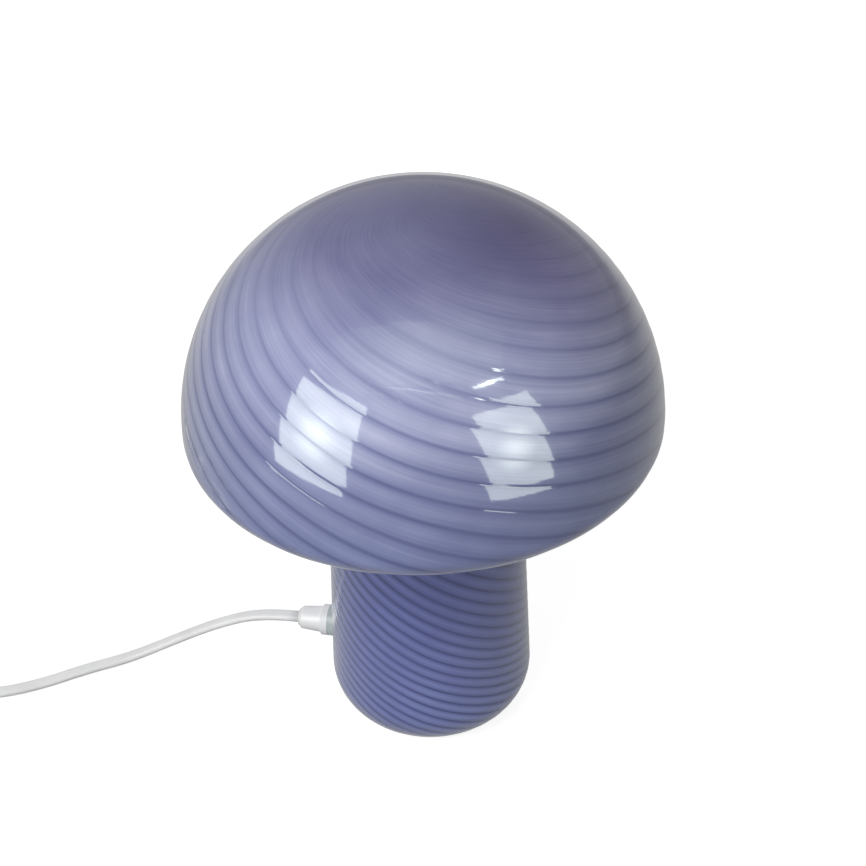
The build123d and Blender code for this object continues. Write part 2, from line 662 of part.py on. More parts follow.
INNER_LEAD_POINTS = [
    (-nose_end, 0.0, GRIP_HEIGHT),
    (-23.0, 0.0, GRIP_HEIGHT),
    (-9.0, -6.0, 31.5),
    (5.0, -8.0, 29.5),
    (17.3, -7.5, 28.3),
    (24.3, -3.5, 27.6),
    (28.3, 3.5, 26.9),
    (28.3, 11.5, 26.2),
    (22.8, 21.5, 25.0),
    (9.2, 30.0, 23.8),
    (-5.5, 31.0, 22.6),
    (-18.5, 28.9, 21.6),
    (-25.4, 24.9, 20.8),
    (-29.4, 18.0, 20.1),
    (-29.4, 10.0, 19.4),
    (-25.4, 3.1, 18.7),
    (-18.5, -0.5, 18.1),
    (-10.9, 0.0, 18.2),
    (-4.0, 0.0, 22.1),
    (0.0, 0.0, 29.0),
    (0.0, 0.0, bridge_top + 2.0),
]


def make_coil(length):
    """Closed outer form of the round coil that takes the rest of the cord."""
    turns = length / (2 * pi * COIL_RADIUS)
    columns = -(-turns // COIL_LAYERS)
    width = columns * CORD_WIDTH
    height = COIL_LAYERS * CORD_THICKNESS
    ring = Pos(COIL_RADIUS, height / 2) * Rectangle(width, height)
    section = Plane.XZ * chamfer(ring.vertices(), COIL_EDGE)
    print("coil length", round(length, 1), "turns", round(turns, 2), "columns", columns)
    return Pos(*COIL_CENTRE) * revolve(section, Axis.Z)


# ---------------------------------------------------------------- in-line switch

def switch_block(low, high, inset):
    outline = RectangleRounded(SWITCH_LENGTH - 2 * inset, SWITCH_WIDTH - 2 * inset, SWITCH_CORNER - inset)
    return extrude(Pos(0, 0, low) * outline, high - low)


def at_switch(solid):
    return Pos(switch_x, switch_y, 0) * solid


def case_screw_places():
    x, y = CASE_SCREW_PLACE
    return [(-x, y), (x, -y)]


def cord_notches():
    half = SWITCH_LENGTH / 2
    return Plane.YZ * Pos(0, SWITCH_PARTING, 0) * Cylinder(cord_bore, 2 * half + 2)


def make_switch_base():
    block = switch_block(0, SWITCH_PARTING, 0)
    block = fillet(block.edges().group_by(Axis.Z)[0], SWITCH_EDGE / 2)
    block -= switch_block(SWITCH_WALL, SWITCH_PARTING, SWITCH_WALL)
    for x, y in case_screw_places():
        block += Pos(x, y, 0) * rod(CASE_BOSS_RADIUS, SWITCH_WALL, SWITCH_PARTING)
        block -= Pos(x, y, 0) * rod(CASE_SCREW_RADIUS, 0, SWITCH_PARTING)
        block -= Pos(x, y, 0) * rod(CASE_SCREW_HEAD, 0, SWITCH_WALL)
    return at_switch(block - cord_notches())


def make_switch_top():
    block = switch_block(SWITCH_PARTING, SWITCH_HEIGHT, 0)
    block = fillet(block.edges().group_by(Axis.Z)[-1], SWITCH_EDGE)
    block -= switch_block(SWITCH_PARTING, SWITCH_HEIGHT - SWITCH_WALL, SWITCH_WALL)
    ceiling = SWITCH_HEIGHT - SWITCH_WALL
    half_opening = sqrt(ROCKER_RADIUS ** 2 - (ceiling - ROCKER_PIVOT) ** 2) + ROCKER_GAP
    side = ROCKER_WIDTH / 2 + ROCKER_GAP
    for sign in (-1, 1):
        cheek = Pos(0, sign * (side + CHEEK_THICKNESS / 2), SWITCH_PARTING + 1) * Box(
            4 * AXLE_RADIUS, CHEEK_THICKNESS, ceiling - SWITCH_PARTING - 1, align=STANDING)
        block += cheek
    for x, y in case_screw_places():
        block += Pos(x, y, 0) * rod(CASE_BOSS_RADIUS, SWITCH_PARTING, ceiling)
        block -= Pos(x, y, 0) * rod(CASE_SCREW_RADIUS, SWITCH_PARTING, ceiling - 2)
    block -= Pos(0, 0, ceiling) * Box(2 * half_opening, 2 * side, 3 * SWITCH_WALL, align=STANDING)
    axle = Pos(0, 0, ROCKER_PIVOT) * Rot(90, 0, 0) * Cylinder(AXLE_RADIUS + AXLE_CLEARANCE, SWITCH_WIDTH - 4)
    return at_switch(block - axle - cord_notches())


def make_rocker():
    """Rocker with two raised wings, stub axles and the plunger that tips the see-saw."""
    wing = tan(radians(ROCKER_WING))
    reach = ROCKER_RADIUS + 1
    outline = make_face(Polyline((-reach, -ROCKER_KEEL), (reach, -ROCKER_KEEL),
                                 (reach, ROCKER_CROWN + reach * wing), (0, ROCKER_CROWN),
                                 (-reach, ROCKER_CROWN + reach * wing), close=True))
    body = extrude(Plane.XZ * (outline & Circle(ROCKER_RADIUS)), ROCKER_WIDTH / 2, both=True)
    body += Rot(90, 0, 0) * Cylinder(AXLE_RADIUS, ROCKER_WIDTH + 2 * AXLE_LENGTH)
    body += Pos(0, 0, -PLUNGER_REACH) * Cylinder(PLUNGER_RADIUS, PLUNGER_REACH - ROCKER_KEEL, align=STANDING)
    return at_switch(Pos(0, 0, ROCKER_PIVOT) * Rot(0, ROCKER_TILT, 0) * body)


def make_seesaw():
    """Contact strip that tips on the fulcrum."""
    strip = Box(2 * SEESAW_HALF_LENGTH, SEESAW_WIDTH, SEESAW_THICKNESS, align=STANDING)
    return at_switch(Pos(0, 0, SEESAW_PIVOT) * Rot(0, SEESAW_TILT, 0) * strip)


def terminal_block(side):
    centre = side * (TERMINAL_END - TERMINAL_BLOCK / 2)
    block = Pos(centre, 0, SWITCH_WALL) * Box(TERMINAL_BLOCK, TERMINAL_BLOCK, TERMINAL_BLOCK_HEIGHT, align=STANDING)
    return block - Pos(centre, 0, SWITCH_WALL + TERMINAL_BLOCK_HEIGHT - 3) * Cylinder(
        CASE_SCREW_RADIUS, 4, align=STANDING)


def strap(start, end):
    return Pos((start + end) / 2, 0, SWITCH_WALL) * Box(end - start, TERMINAL_WIDTH, TERMINAL_THICKNESS,
                                                        align=STANDING)


def make_switch_terminals():
    """Live-in strap with the fulcrum ridge, and the live-out strap under the see-saw's other end."""
    ridge_top = SEESAW_PIVOT - 0.15
    ridge = make_face(Polyline((-1.2, SWITCH_WALL), (1.2, SWITCH_WALL), (0.2, ridge_top), (-0.2, ridge_top),
                               close=True))
    fulcrum = extrude(Plane.XZ * ridge, TERMINAL_WIDTH / 2, both=True)
    live_in = strap(1 - TERMINAL_END, 1.2) + fulcrum + terminal_block(-1)
    live_out = strap(SEESAW_HALF_LENGTH - 2, TERMINAL_END - 1) + terminal_block(1)
    return Compound(children=[at_switch(live_in), at_switch(live_out)])


def make_switch_screws():
    """Case screws from below and clamping screws on the terminals."""
    solids = []
    for x, y in case_screw_places():
        one = rod(CASE_SCREW_RADIUS, 0.4, SWITCH_HEIGHT - SWITCH_WALL - 2.5)
        one += rod(CASE_SCREW_HEAD, 0.2, SWITCH_WALL)
        solids.append(at_switch(Pos(x, y, 0) * one))
    top = SWITCH_WALL + TERMINAL_BLOCK_HEIGHT
    for side in (-1, 1):
        one = rod(CASE_SCREW_RADIUS, top - 3, top) + rod(CASE_SCREW_HEAD - 0.4, top, top + 1)
        solids.append(at_switch(Pos(side * (TERMINAL_END - TERMINAL_BLOCK / 2), 0, 0) * one))
    return Compound(children=solids)


# ---------------------------------------------------------------- plug

def at_plug(solid):
    """Plug drawn along +X from its cord end, turned to +Y."""
    return Pos(PLUG_REAR[0], PLUG_REAR[1], 0) * Rot(0, 0, 90) * solid


def make_plug_body():
    start = PLUG_SLEEVE_LENGTH
    end = start + PLUG_LENGTH
    half = PLUG_WIDTH / 2
    rear = PLUG_REAR_WIDTH / 2
    outline = make_face(Polyline((start, -rear), (end - PLUG_FACE_DEPTH, -half), (end, -half), (end, half),
                                 (end - PLUG_FACE_DEPTH, half), (start, rear), close=True))
    block = extrude(outline, PLUG_THICKNESS)
    block = fillet(block.edges().filter_by(Axis.Z), PLUG_ROUND)
    block = fillet(block.edges().group_by(Axis.Z)[-1] + block.edges().group_by(Axis.Z)[0], PLUG_ROUND / 2)
    lying = Pos(0, 0, plug_axis) * Rot(0, 90, 0)
    sleeve = lying * Cone(PLUG_SLEEVE_END, PLUG_SLEEVE_RADIUS, start + 1, align=STANDING)
    return at_plug(block + sleeve)


def make_plug_pin(side):
    start = PLUG_SLEEVE_LENGTH + PLUG_LENGTH
    place = Pos(start, side * PIN_SPACING / 2, plug_axis) * Rot(0, 90, 0)
    pin = place * Cylinder(PIN_RADIUS, PIN_LENGTH, align=STANDING)
    return at_plug(chamfer(pin.edges().group_by(Axis.X)[-1], PIN_ROUND))


# ---------------------------------------------------------------- write every piece

cord_lead, lead_length = cord_tube("cord_lead", LEAD_POINTS)
cord_tail, tail_length = cord_tube("cord_tail", TAIL_POINTS)
cord_end, end_length = cord_tube("cord_end", END_POINTS)
inner_lead, inner_length = cord_tube("inner_lead", INNER_LEAD_POINTS)
coil_length = CORD_LENGTH - lead_length - tail_length - end_length - SWITCH_LENGTH

pieces = {
    "glass_body": make_glass_body(),
    "cord_grip": make_cord_grip(),
    "grip_bush": make_grip_bush(),
    "outer_washer": make_outer_washer(),
    "inner_washer": make_inner_washer(),
    "grip_nut": make_grip_nut(),
    "base_plate": make_base_plate(),
    "foot_gasket": make_gasket(),
    "clip_rivets": make_clip_rivets(),
    "stirrup": make_stirrup(),
    "stirrup_rivets": make_stirrup_rivets(),
    "nipple": make_nipple(),
    "lock_washer": make_lock_washer(),
    "nipple_nut": make_nipple_nut(),
    "holder_cap": make_holder_cap(),
    "holder_shell": make_holder_shell(),
    "holder_insulator": make_holder_insulator(),
    "contact_shell": make_contact_shell(),
    "centre_contact": make_centre_contact(),
    "terminal_screws": make_terminal_screws(),
    "bulb_tip_contact": make_tip_contact(),
    "bulb_bead": make_bulb_bead(),
    "bulb_screw_cap": make_screw_cap(),
    "bulb_envelope": make_envelope(),
    "bulb_glass_stem": make_glass_stem(),
    "filament_supports": make_filament_supports(),
    "led_filaments": make_filaments(),
    "inner_lead": inner_lead,
    "cord_lead": cord_lead,
    "cord_tail": cord_tail,
    "cord_end": cord_end,
    "cord_coil": make_coil(coil_length),
    "switch_base": make_switch_base(),
    "switch_top": make_switch_top(),
    "switch_rocker": make_rocker(),
    "switch_seesaw": make_seesaw(),
    "switch_terminals": make_switch_terminals(),
    "switch_screws": make_switch_screws(),
    "plug_body": make_plug_body(),
    "plug_pin_left": make_plug_pin(1),
    "plug_pin_right": make_plug_pin(-1),
}
for index, angle in enumerate(around(BUMPER_COUNT)):
    pieces[f"bumper_{index + 1}"] = make_bumper(angle)
for index, angle in enumerate(around(CLIP_COUNT, CLIP_FIRST_ANGLE)):
    pieces[f"spring_clip_{index + 1}"] = make_clip(angle)

os.makedirs("parts", exist_ok=True)
for name, piece in pieces.items():
    export_step(piece, f"parts/{name}.step")
print(len(pieces), "pieces written")
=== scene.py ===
# %% [markdown]
# # A swirled glass mushroom lamp
# This lesson dresses a mushroom table lamp. The CAD model gives every size; Blender
# gives the looks. The lamp is one blown glass body, a domed cap that runs into a nearly
# straight stem, with a white flex that leaves the foot through a screwed grip.
# Every length is in metres, in the frame of the CAD model.

# %% Load the CAD model
import math

import bmesh
import bpy
from mathutils import Matrix, Vector


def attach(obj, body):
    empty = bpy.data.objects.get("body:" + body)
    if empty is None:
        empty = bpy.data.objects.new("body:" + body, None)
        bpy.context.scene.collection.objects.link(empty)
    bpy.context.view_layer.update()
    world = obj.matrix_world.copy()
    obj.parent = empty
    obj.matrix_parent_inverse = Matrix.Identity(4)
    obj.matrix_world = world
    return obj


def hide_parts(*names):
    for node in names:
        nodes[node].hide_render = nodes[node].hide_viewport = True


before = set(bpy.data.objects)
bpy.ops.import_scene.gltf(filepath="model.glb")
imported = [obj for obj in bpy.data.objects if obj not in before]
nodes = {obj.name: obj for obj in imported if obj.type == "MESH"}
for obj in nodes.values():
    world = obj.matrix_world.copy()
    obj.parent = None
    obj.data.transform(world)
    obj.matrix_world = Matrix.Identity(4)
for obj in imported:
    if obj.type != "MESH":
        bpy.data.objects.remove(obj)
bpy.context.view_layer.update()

# %% [markdown]
# ## The camera
# It looks down at the lamp from about 37 degrees, a little from the right. A separate program
# fitted its place, its turn and its lens to the outlines of the cap and the stem.

# %% Camera
CAMERA_PLACE = (0.13284, -0.62495, 0.61345)
CAMERA_RIGHT = Vector((0.98254, 0.18438, -0.02476))
CAMERA_UP = Vector((-0.09026, 0.58883, 0.80320))
CAMERA_AHEAD = Vector((-0.16268, 0.78695, -0.59519))
LENS_MM = 82.89
SENSOR_MM = 36.0
NEAREST, FARTHEST = 0.01, 50.0

camera_data = bpy.data.cameras.new("camera")
camera_data.lens = LENS_MM
camera_data.sensor_width = SENSOR_MM
camera_data.clip_start = NEAREST
camera_data.clip_end = FARTHEST
camera = bpy.data.objects.new("camera", camera_data)
camera.matrix_world = Matrix((
    (CAMERA_RIGHT.x, CAMERA_UP.x, -CAMERA_AHEAD.x, CAMERA_PLACE[0]),
    (CAMERA_RIGHT.y, CAMERA_UP.y, -CAMERA_AHEAD.y, CAMERA_PLACE[1]),
    (CAMERA_RIGHT.z, CAMERA_UP.z, -CAMERA_AHEAD.z, CAMERA_PLACE[2]),
    (0.0, 0.0, 0.0, 1.0)))
bpy.context.scene.collection.objects.link(camera)
bpy.context.scene.camera = camera
bpy.context.scene.view_settings.view_transform = "Standard"
print("camera elevation", round(math.degrees(math.asin(-CAMERA_AHEAD.z)), 1), "degrees")

# %% [markdown]
# ## Helpers for materials
# A material is a node tree. These helpers make one with a Principled shader, add nodes to
# it, and join their sockets, so that each finish below takes only a few lines.

# %% Material helpers
def new_material(name, roughness, **sockets):
    """A material, its Principled shader, and constants on its sockets."""
    material = bpy.data.materials.new(name)
    material.use_nodes = True
    shader = material.node_tree.nodes["Principled BSDF"]
    shader.inputs["Roughness"].default_value = roughness
    for socket, value in sockets.items():
        shader.inputs[socket.replace("_", " ")].default_value = value
    return material, shader


def add(material, kind, **settings):
    """A new node; settings are its properties, or its sockets where it has no such property."""
    node = material.node_tree.nodes.new(kind)
    for name, value in settings.items():
        if hasattr(node, name):
            setattr(node, name, value)
        else:
            node.inputs[name.replace("_", " ")].default_value = value
    return node


def join(material, source, target):
    material.node_tree.links.new(source, target)


def feed(material, socket, source):
    """Gives a socket its source, which is another socket or a constant."""
    if isinstance(source, bpy.types.NodeSocket):
        join(material, source, socket)
    else:
        socket.default_value = source


def calculate(material, operation, first, second=None):
    """A Math node; first and second are sockets or numbers."""
    node = add(material, "ShaderNodeMath", operation=operation)
    feed(material, node.inputs[0], first)
    if second is not None:
        feed(material, node.inputs[1], second)
    return node.outputs[0]


def ramp(material, source, stops):
    """A Color Ramp; stops are (place, colour)."""
    node = add(material, "ShaderNodeValToRGB")
    elements = node.color_ramp.elements
    while len(elements) < len(stops):
        elements.new(0.5)
    for element, (place, colour) in zip(elements, stops):
        element.position = place
        element.color = (*colour, 1.0)
    join(material, source, node.inputs["Fac"])
    return node.outputs["Color"]


def map_range(material, value, low, high, first=0.0, last=1.0, kind="SMOOTHSTEP"):
    """Turns a socket's values from low to high into first to last."""
    node = add(material, "ShaderNodeMapRange", interpolation_type=kind)
    for label, number in (("From Min", low), ("From Max", high), ("To Min", first), ("To Max", last)):
        node.inputs[label].default_value = number
    join(material, value, node.inputs["Value"])
    return node.outputs["Result"]


def mix(material, first, second, factor=1.0, kind="MULTIPLY"):
    """Mixes two colours; each of the three is a socket or a constant."""
    node = add(material, "ShaderNodeMix", data_type="RGBA", blend_type=kind)
    for label, source in (("Factor", factor), ("A", first), ("B", second)):
        feed(material, node.inputs[label], source)
    return node.outputs["Result"]


# %% Helpers for patterns and bumps
def noise(material, vector, scale, detail=3.0, roughness=0.55):
    node = add(material, "ShaderNodeTexNoise")
    node.inputs["Scale"].default_value = scale
    node.inputs["Detail"].default_value = detail
    node.inputs["Roughness"].default_value = roughness
    join(material, vector, node.inputs["Vector"])
    return node.outputs["Fac"]


def object_place(material):
    return add(material, "ShaderNodeTexCoord").outputs["Object"]


def stretched(material, vector, scale):
    node = add(material, "ShaderNodeMapping")
    node.inputs["Scale"].default_value = scale
    join(material, vector, node.inputs["Vector"])
    return node.outputs["Vector"]


def bump(material, shader, height, strength, distance):
    node = add(material, "ShaderNodeBump")
    node.inputs["Strength"].default_value = strength
    node.inputs["Distance"].default_value = distance
    join(material, height, node.inputs["Height"])
    join(material, node.outputs["Normal"], shader.inputs["Normal"])
    return node


def dress(node_name, material):
    """Gives a CAD node's object a material."""
    obj = nodes[node_name]
    if not obj.material_slots:
        obj.data.materials.append(None)
    for place in obj.material_slots:
        place.material = material


print("helpers ready")

# %% [markdown]
# ## The flex
# A white flat two-core cord of 1.8 m. It comes straight out of the grip, droops to the
# table, runs to an in-line switch and then to a round coil with its plug beside it, both
# outside the picture. Each stretch is one NURBS curve: its control points follow the corners
# of the CAD route, and the curve rounds them off as a real cord does.

# %% Routes of the flex
CORD_WIDTH = 0.0056
CORD_THICKNESS = 0.0034

lead_route = [
    (-0.05803, 0.0, 0.0345), (-0.075, 0.0, 0.0345), (-0.097, -0.0002, 0.025),
    (-0.119, -0.0008, 0.0118), (-0.138, -0.0044, 0.0024), (-0.155, -0.0146, 0.0024),
    (-0.172, -0.0274, 0.0024), (-0.189, -0.0376, 0.0038), (-0.205, -0.0432, 0.0074),
    (-0.217, -0.044, 0.0085), (-0.223, -0.044, 0.0085)]
tail_route = [
    (-0.277, -0.044, 0.0085), (-0.297, -0.0443, 0.0077), (-0.3135, -0.041, 0.0054),
    (-0.327, -0.0316, 0.0034), (-0.3356, -0.0186, 0.0027)]
end_route = [
    (-0.3069, 0.0512, 0.0070), (-0.2857, 0.0510, 0.0062), (-0.274, 0.0627, 0.00685),
    (-0.274, 0.080, 0.00685)]

# %% The turns of the coil
COIL_CENTRE = (-0.303, 0.012)
COIL_RADII = (0.0366, 0.0310, 0.0254, 0.0254, 0.0310, 0.0366, 0.0338, 0.0366)
COIL_LEVELS = (0, 0, 0, 1, 1, 1, 2, 2)
POINTS_PER_TURN = 16
STEADY_SHARE = 0.75          # of each turn, before it moves over to the next
COIL_START = math.radians(192)
COIL_TURNS = 7.2


def coil_points():
    """Control points that wind clockwise, column by column and layer by layer."""
    points = []
    reach = 1 / (0.75 + 0.25 * math.cos(math.tau / POINTS_PER_TURN))
    for step in range(int(COIL_TURNS * POINTS_PER_TURN)):
        turn = step / POINTS_PER_TURN
        whole = int(turn)
        shift = min(1.0, max(0.0, (turn - whole - STEADY_SHARE) / (1 - STEADY_SHARE)))
        shift = shift * shift * (3 - 2 * shift)
        after = min(whole + 1, len(COIL_RADII) - 1)
        radius = COIL_RADII[whole] + (COIL_RADII[after] - COIL_RADII[whole]) * shift
        level = COIL_LEVELS[whole] + (COIL_LEVELS[after] - COIL_LEVELS[whole]) * shift
        angle = COIL_START - turn * math.tau
        points.append((COIL_CENTRE[0] + radius * reach * math.cos(angle),
                       COIL_CENTRE[1] + radius * reach * math.sin(angle),
                       CORD_THICKNESS * (level + 0.5)))
    return points


tail_route = tail_route + coil_points() + end_route
print("control points", len(lead_route), len(tail_route))

# %% A smooth line through each route
def smooth_line(name, route):
    """Points read from the NURBS curve that has the route as its control points."""
    curve = bpy.data.curves.new(name, "CURVE")
    curve.dimensions = "3D"
    curve.resolution_u = 6
    spline = curve.splines.new("NURBS")
    spline.points.add(len(route) - 1)
    for point, place in zip(spline.points, route):
        point.co = (*place, 1.0)
    spline.order_u = 3
    spline.use_endpoint_u = True
    holder = bpy.data.objects.new(name, curve)
    bpy.context.scene.collection.objects.link(holder)
    bpy.context.view_layer.update()
    mesh = bpy.data.meshes.new_from_object(holder)
    line = [vertex.co.copy() for vertex in mesh.vertices]
    bpy.data.objects.remove(holder)
    bpy.data.curves.remove(curve)
    bpy.data.meshes.remove(mesh)
    length = sum((b - a).length for a, b in zip(line, line[1:]))
    print(name, "line", len(line), "points, length", round(length, 4))
    return line


lead_line = smooth_line("flex_lead_route", lead_route)
tail_line = smooth_line("flex_tail_route", tail_route)

# %% [markdown]
# A flat cord is a closed oval, wider than it is thick, carried along the line with its wide
# side level. The two cores show as a faint hollow along the middle of the flat sides.

# %% Cord sweep
CORD_SIDES = 20
HOLLOW_SHARE = 0.10          # of the cord's thickness, between its cores
HOLLOW_WIDTH = 0.0006


def cord_section():
    """Half-width and half-height of the oval, point by point."""
    straight = (CORD_WIDTH - CORD_THICKNESS) / 2
    outline = []
    for step in range(CORD_SIDES):
        angle = math.tau * (step + 0.5) / CORD_SIDES
        across, up = math.cos(angle), math.sin(angle)
        x = math.copysign(straight, across) + CORD_THICKNESS / 2 * across
        hollow = 1 - HOLLOW_SHARE * math.exp(-(x / HOLLOW_WIDTH) ** 2)
        outline.append((x, CORD_THICKNESS / 2 * up * hollow))
    return outline


def sweep_cord(name, line, material):
    mesh = bpy.data.meshes.new(name)
    build = bmesh.new()
    rings = []
    for index, place in enumerate(line):
        ahead = line[min(index + 1, len(line) - 1)] - line[max(index - 1, 0)]
        side = ahead.cross(Vector((0, 0, 1))).normalized()
        up = side.cross(ahead).normalized()
        rings.append([build.verts.new(place + side * x + up * z) for x, z in cord_section()])
    for one, two in zip(rings, rings[1:]):
        for k in range(CORD_SIDES):
            after = (k + 1) % CORD_SIDES
            build.faces.new((one[k], one[after], two[after], two[k]))
    build.faces.new(rings[0])
    build.faces.new(rings[-1][::-1])
    bmesh.ops.recalc_face_normals(build, faces=build.faces)
    for face in build.faces:
        face.smooth = len(face.verts) == 4
    build.to_mesh(mesh)
    build.free()
    obj = bpy.data.objects.new(name, mesh)
    obj.data.materials.append(material)
    bpy.context.scene.collection.objects.link(obj)
    return obj


# %% Cord finish
cord_finish, shader = new_material("white_flex", 0.42, Specular_IOR_Level=0.4)
place = object_place(cord_finish)
join(cord_finish, ramp(cord_finish, noise(cord_finish, place, 60), [
    (0.3, (0.80, 0.80, 0.79)), (0.7, (0.87, 0.87, 0.865))]), shader.inputs["Base Color"])
bump(cord_finish, shader, noise(cord_finish, place, 900, 2.0), 0.15, 0.0002)

# %% Flex pieces
flex_lead = sweep_cord("flex_lead", lead_line, cord_finish)
flex_tail = sweep_cord("flex_tail", tail_line, cord_finish)
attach(flex_lead, "lamp")
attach(flex_tail, "lamp")
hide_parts("cord_lead")
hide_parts("cord_tail", "cord_coil", "cord_end")

# %% [markdown]
# ## The glass
# A gather of coloured glass is pressed into a ribbed mould, then twisted while it is blown,
# so its ribs wind round the cap and the stem as a swirl. The form follows a rule: one
# profile turned about the axis, with the ribs at a twist that grows down the profile.
# Geometry Nodes turn the profile and lay the ribs, and they store for each point where it
# stands in the swirl, so that the colour follows the same ribs.

# %% Glass sizes
CAP_RADIUS = 0.095
EQUATOR = 0.152
DOME_RISE = 0.0925
JOIN_ANGLE = math.radians(52)
SHOULDER_RADIUS = 0.0105
UNDERSIDE_SLOPE = math.radians(20)
NECK_FILLET = 0.012
STEM_FOOT_RADIUS = 0.0432
STEM_FLARE = math.radians(1.8)
FOOT_ROUND = 0.0215
FOOT_LOW = 0.003
ROUND_LOW = 0.0005
WALL = 0.0035
MOUTH_RADIUS = 0.027

# %% Helpers for the profile
def arc(centre, radius, first, last, step=0.001):
    """Points on an arc with their outward directions; angles in radians."""
    count = max(2, int(abs(last - first) * abs(radius) / step) + 1)
    rows = []
    for k in range(count + 1):
        angle = first + (last - first) * k / count
        way = Vector((math.cos(angle), math.sin(angle)))
        out = way if radius > 0 else -way
        rows.append((Vector(centre) + way * abs(radius), out))
    return rows


def line_between(start, end, out, step=0.001):
    count = max(2, int((end - start).length / step))
    return [(start.lerp(end, k / count), out) for k in range(count + 1)]


# %% The outer profile, from the top of the cap down to the ground foot
def outer_profile():
    inset = (CAP_RADIUS - DOME_RISE) / (1 - 1 / math.cos(JOIN_ANGLE) + math.tan(JOIN_ANGLE))
    side_radius = CAP_RADIUS - inset
    crown_low = EQUATOR - inset * math.tan(JOIN_ANGLE)
    crown_radius = side_radius + inset / math.cos(JOIN_ANGLE)
    rows = arc((0, crown_low), crown_radius, math.pi / 2, JOIN_ANGLE)
    rows += arc((inset, EQUATOR), side_radius, JOIN_ANGLE, 0)[1:]
    low = -(math.pi / 2 - UNDERSIDE_SLOPE)
    rows += arc((CAP_RADIUS - SHOULDER_RADIUS, EQUATOR), SHOULDER_RADIUS, 0, low)[1:]

    shoulder_end, under = rows[-1]
    inward = Vector((-math.cos(UNDERSIDE_SLOPE), -math.sin(UNDERSIDE_SLOPE)))
    stem_out = Vector((math.cos(STEM_FLARE), math.sin(STEM_FLARE)))
    stem_down = Vector((math.sin(STEM_FLARE), -math.cos(STEM_FLARE)))
    foot_corner = Vector((STEM_FOOT_RADIUS, ROUND_LOW))
    # the neck is where the underside meets the side of the stem
    gap = foot_corner - shoulder_end
    cross = inward.x * stem_down.y - inward.y * stem_down.x
    neck = shoulder_end + inward * ((gap.x * stem_down.y - gap.y * stem_down.x) / cross)

    half = (math.pi - math.acos(max(-1, min(1, -inward.dot(stem_down))))) / 2
    reach = NECK_FILLET * math.tan(half)
    start, end = neck - inward * reach, neck + stem_down * reach
    rows += line_between(shoulder_end, start, under)[1:]
    centre = start + under * NECK_FILLET
    first = math.atan2(-under.y, -under.x)
    last = math.atan2(-stem_out.y, -stem_out.x)
    if last - first > math.pi:
        last -= math.tau
    if first - last > math.pi:
        last += math.tau
    rows += arc(centre, -NECK_FILLET, first, last)[1:]

    foot_height = ROUND_LOW + FOOT_ROUND
    foot_edge = foot_corner.x + (foot_height - ROUND_LOW) * -math.tan(STEM_FLARE)
    centre = Vector((foot_edge - FOOT_ROUND / math.cos(STEM_FLARE), foot_height))
    foot_start = centre + stem_out * FOOT_ROUND
    rows += line_between(end, foot_start, stem_out)[1:]
    ground = math.asin((FOOT_LOW - centre.y) / FOOT_ROUND)
    rows += arc(centre, FOOT_ROUND, STEM_FLARE, ground)[1:]
    return rows


outer = outer_profile()
print("outer rows", len(outer), "lowest", [round(v, 4) for v in outer[-1][0]])

# %% The swirl's rule
RIBS = 22                           # 23 would suit the lines that can be seen about as well
SWIRL_FRONT = math.radians(-78)     # the swirl's angles are counted from here
# Distance down the profile in millimetres, and the twist there in degrees. A separate program
# fitted the rows from 30 to 150 and from 240 to 320 to the rib lines that can be seen.
TWIST = ((0, -92), (30, -34.4), (50, 1.8), (70, 36.3), (90, 71.7), (110, 109.6), (130, 148.4),
         (150, 182.3), (180, 240), (210, 300), (240, 364.3), (260, 413.6), (280, 468.6),
         (300, 532.8), (320, 600), (350, 702))
# What is left over in the same fit, as a lean of the ribs to one side: distance down, and
# degrees to the front and to the side.
LEAN = ((0, -15.6, -12.5), (30, -15.6, -12.5), (150, 20.2, -3.4), (240, 2.2, 10.5),
        (320, 8.7, 4.6), (350, 8.7, 4.6))


def smooth_between(table, at, column=1):
    """A smooth curve through the rows of a table."""
    places = [row[0] for row in table]
    k = max(0, min(len(table) - 2, sum(1 for place in places if place <= at) - 1))
    slopes = []
    for m in (k, k + 1):
        low, high = max(0, m - 1), min(len(table) - 1, m + 1)
        slopes.append((table[high][column] - table[low][column]) / (places[high] - places[low]))
    width = places[k + 1] - places[k]
    t = (at - places[k]) / width
    ends = (table[k][column] * (2 * t ** 3 - 3 * t ** 2 + 1)
            + table[k + 1][column] * (3 * t ** 2 - 2 * t ** 3))
    return (ends + slopes[0] * width * (t ** 3 - 2 * t ** 2 + t)
            + slopes[1] * width * (t ** 3 - t ** 2))


# %% The whole profile with its attributes
PLAIN_MM = 45                # of the crown, before the ribs begin
RISE_MM = 55                 # over which they reach their full height
FOOT_FADE = 0.004            # over which they die out above the foot
INNER_LOW = 0.02             # below this the inner wall keeps off the mouth
INNER_STEP = 4               # the smooth inner wall needs every fourth row only


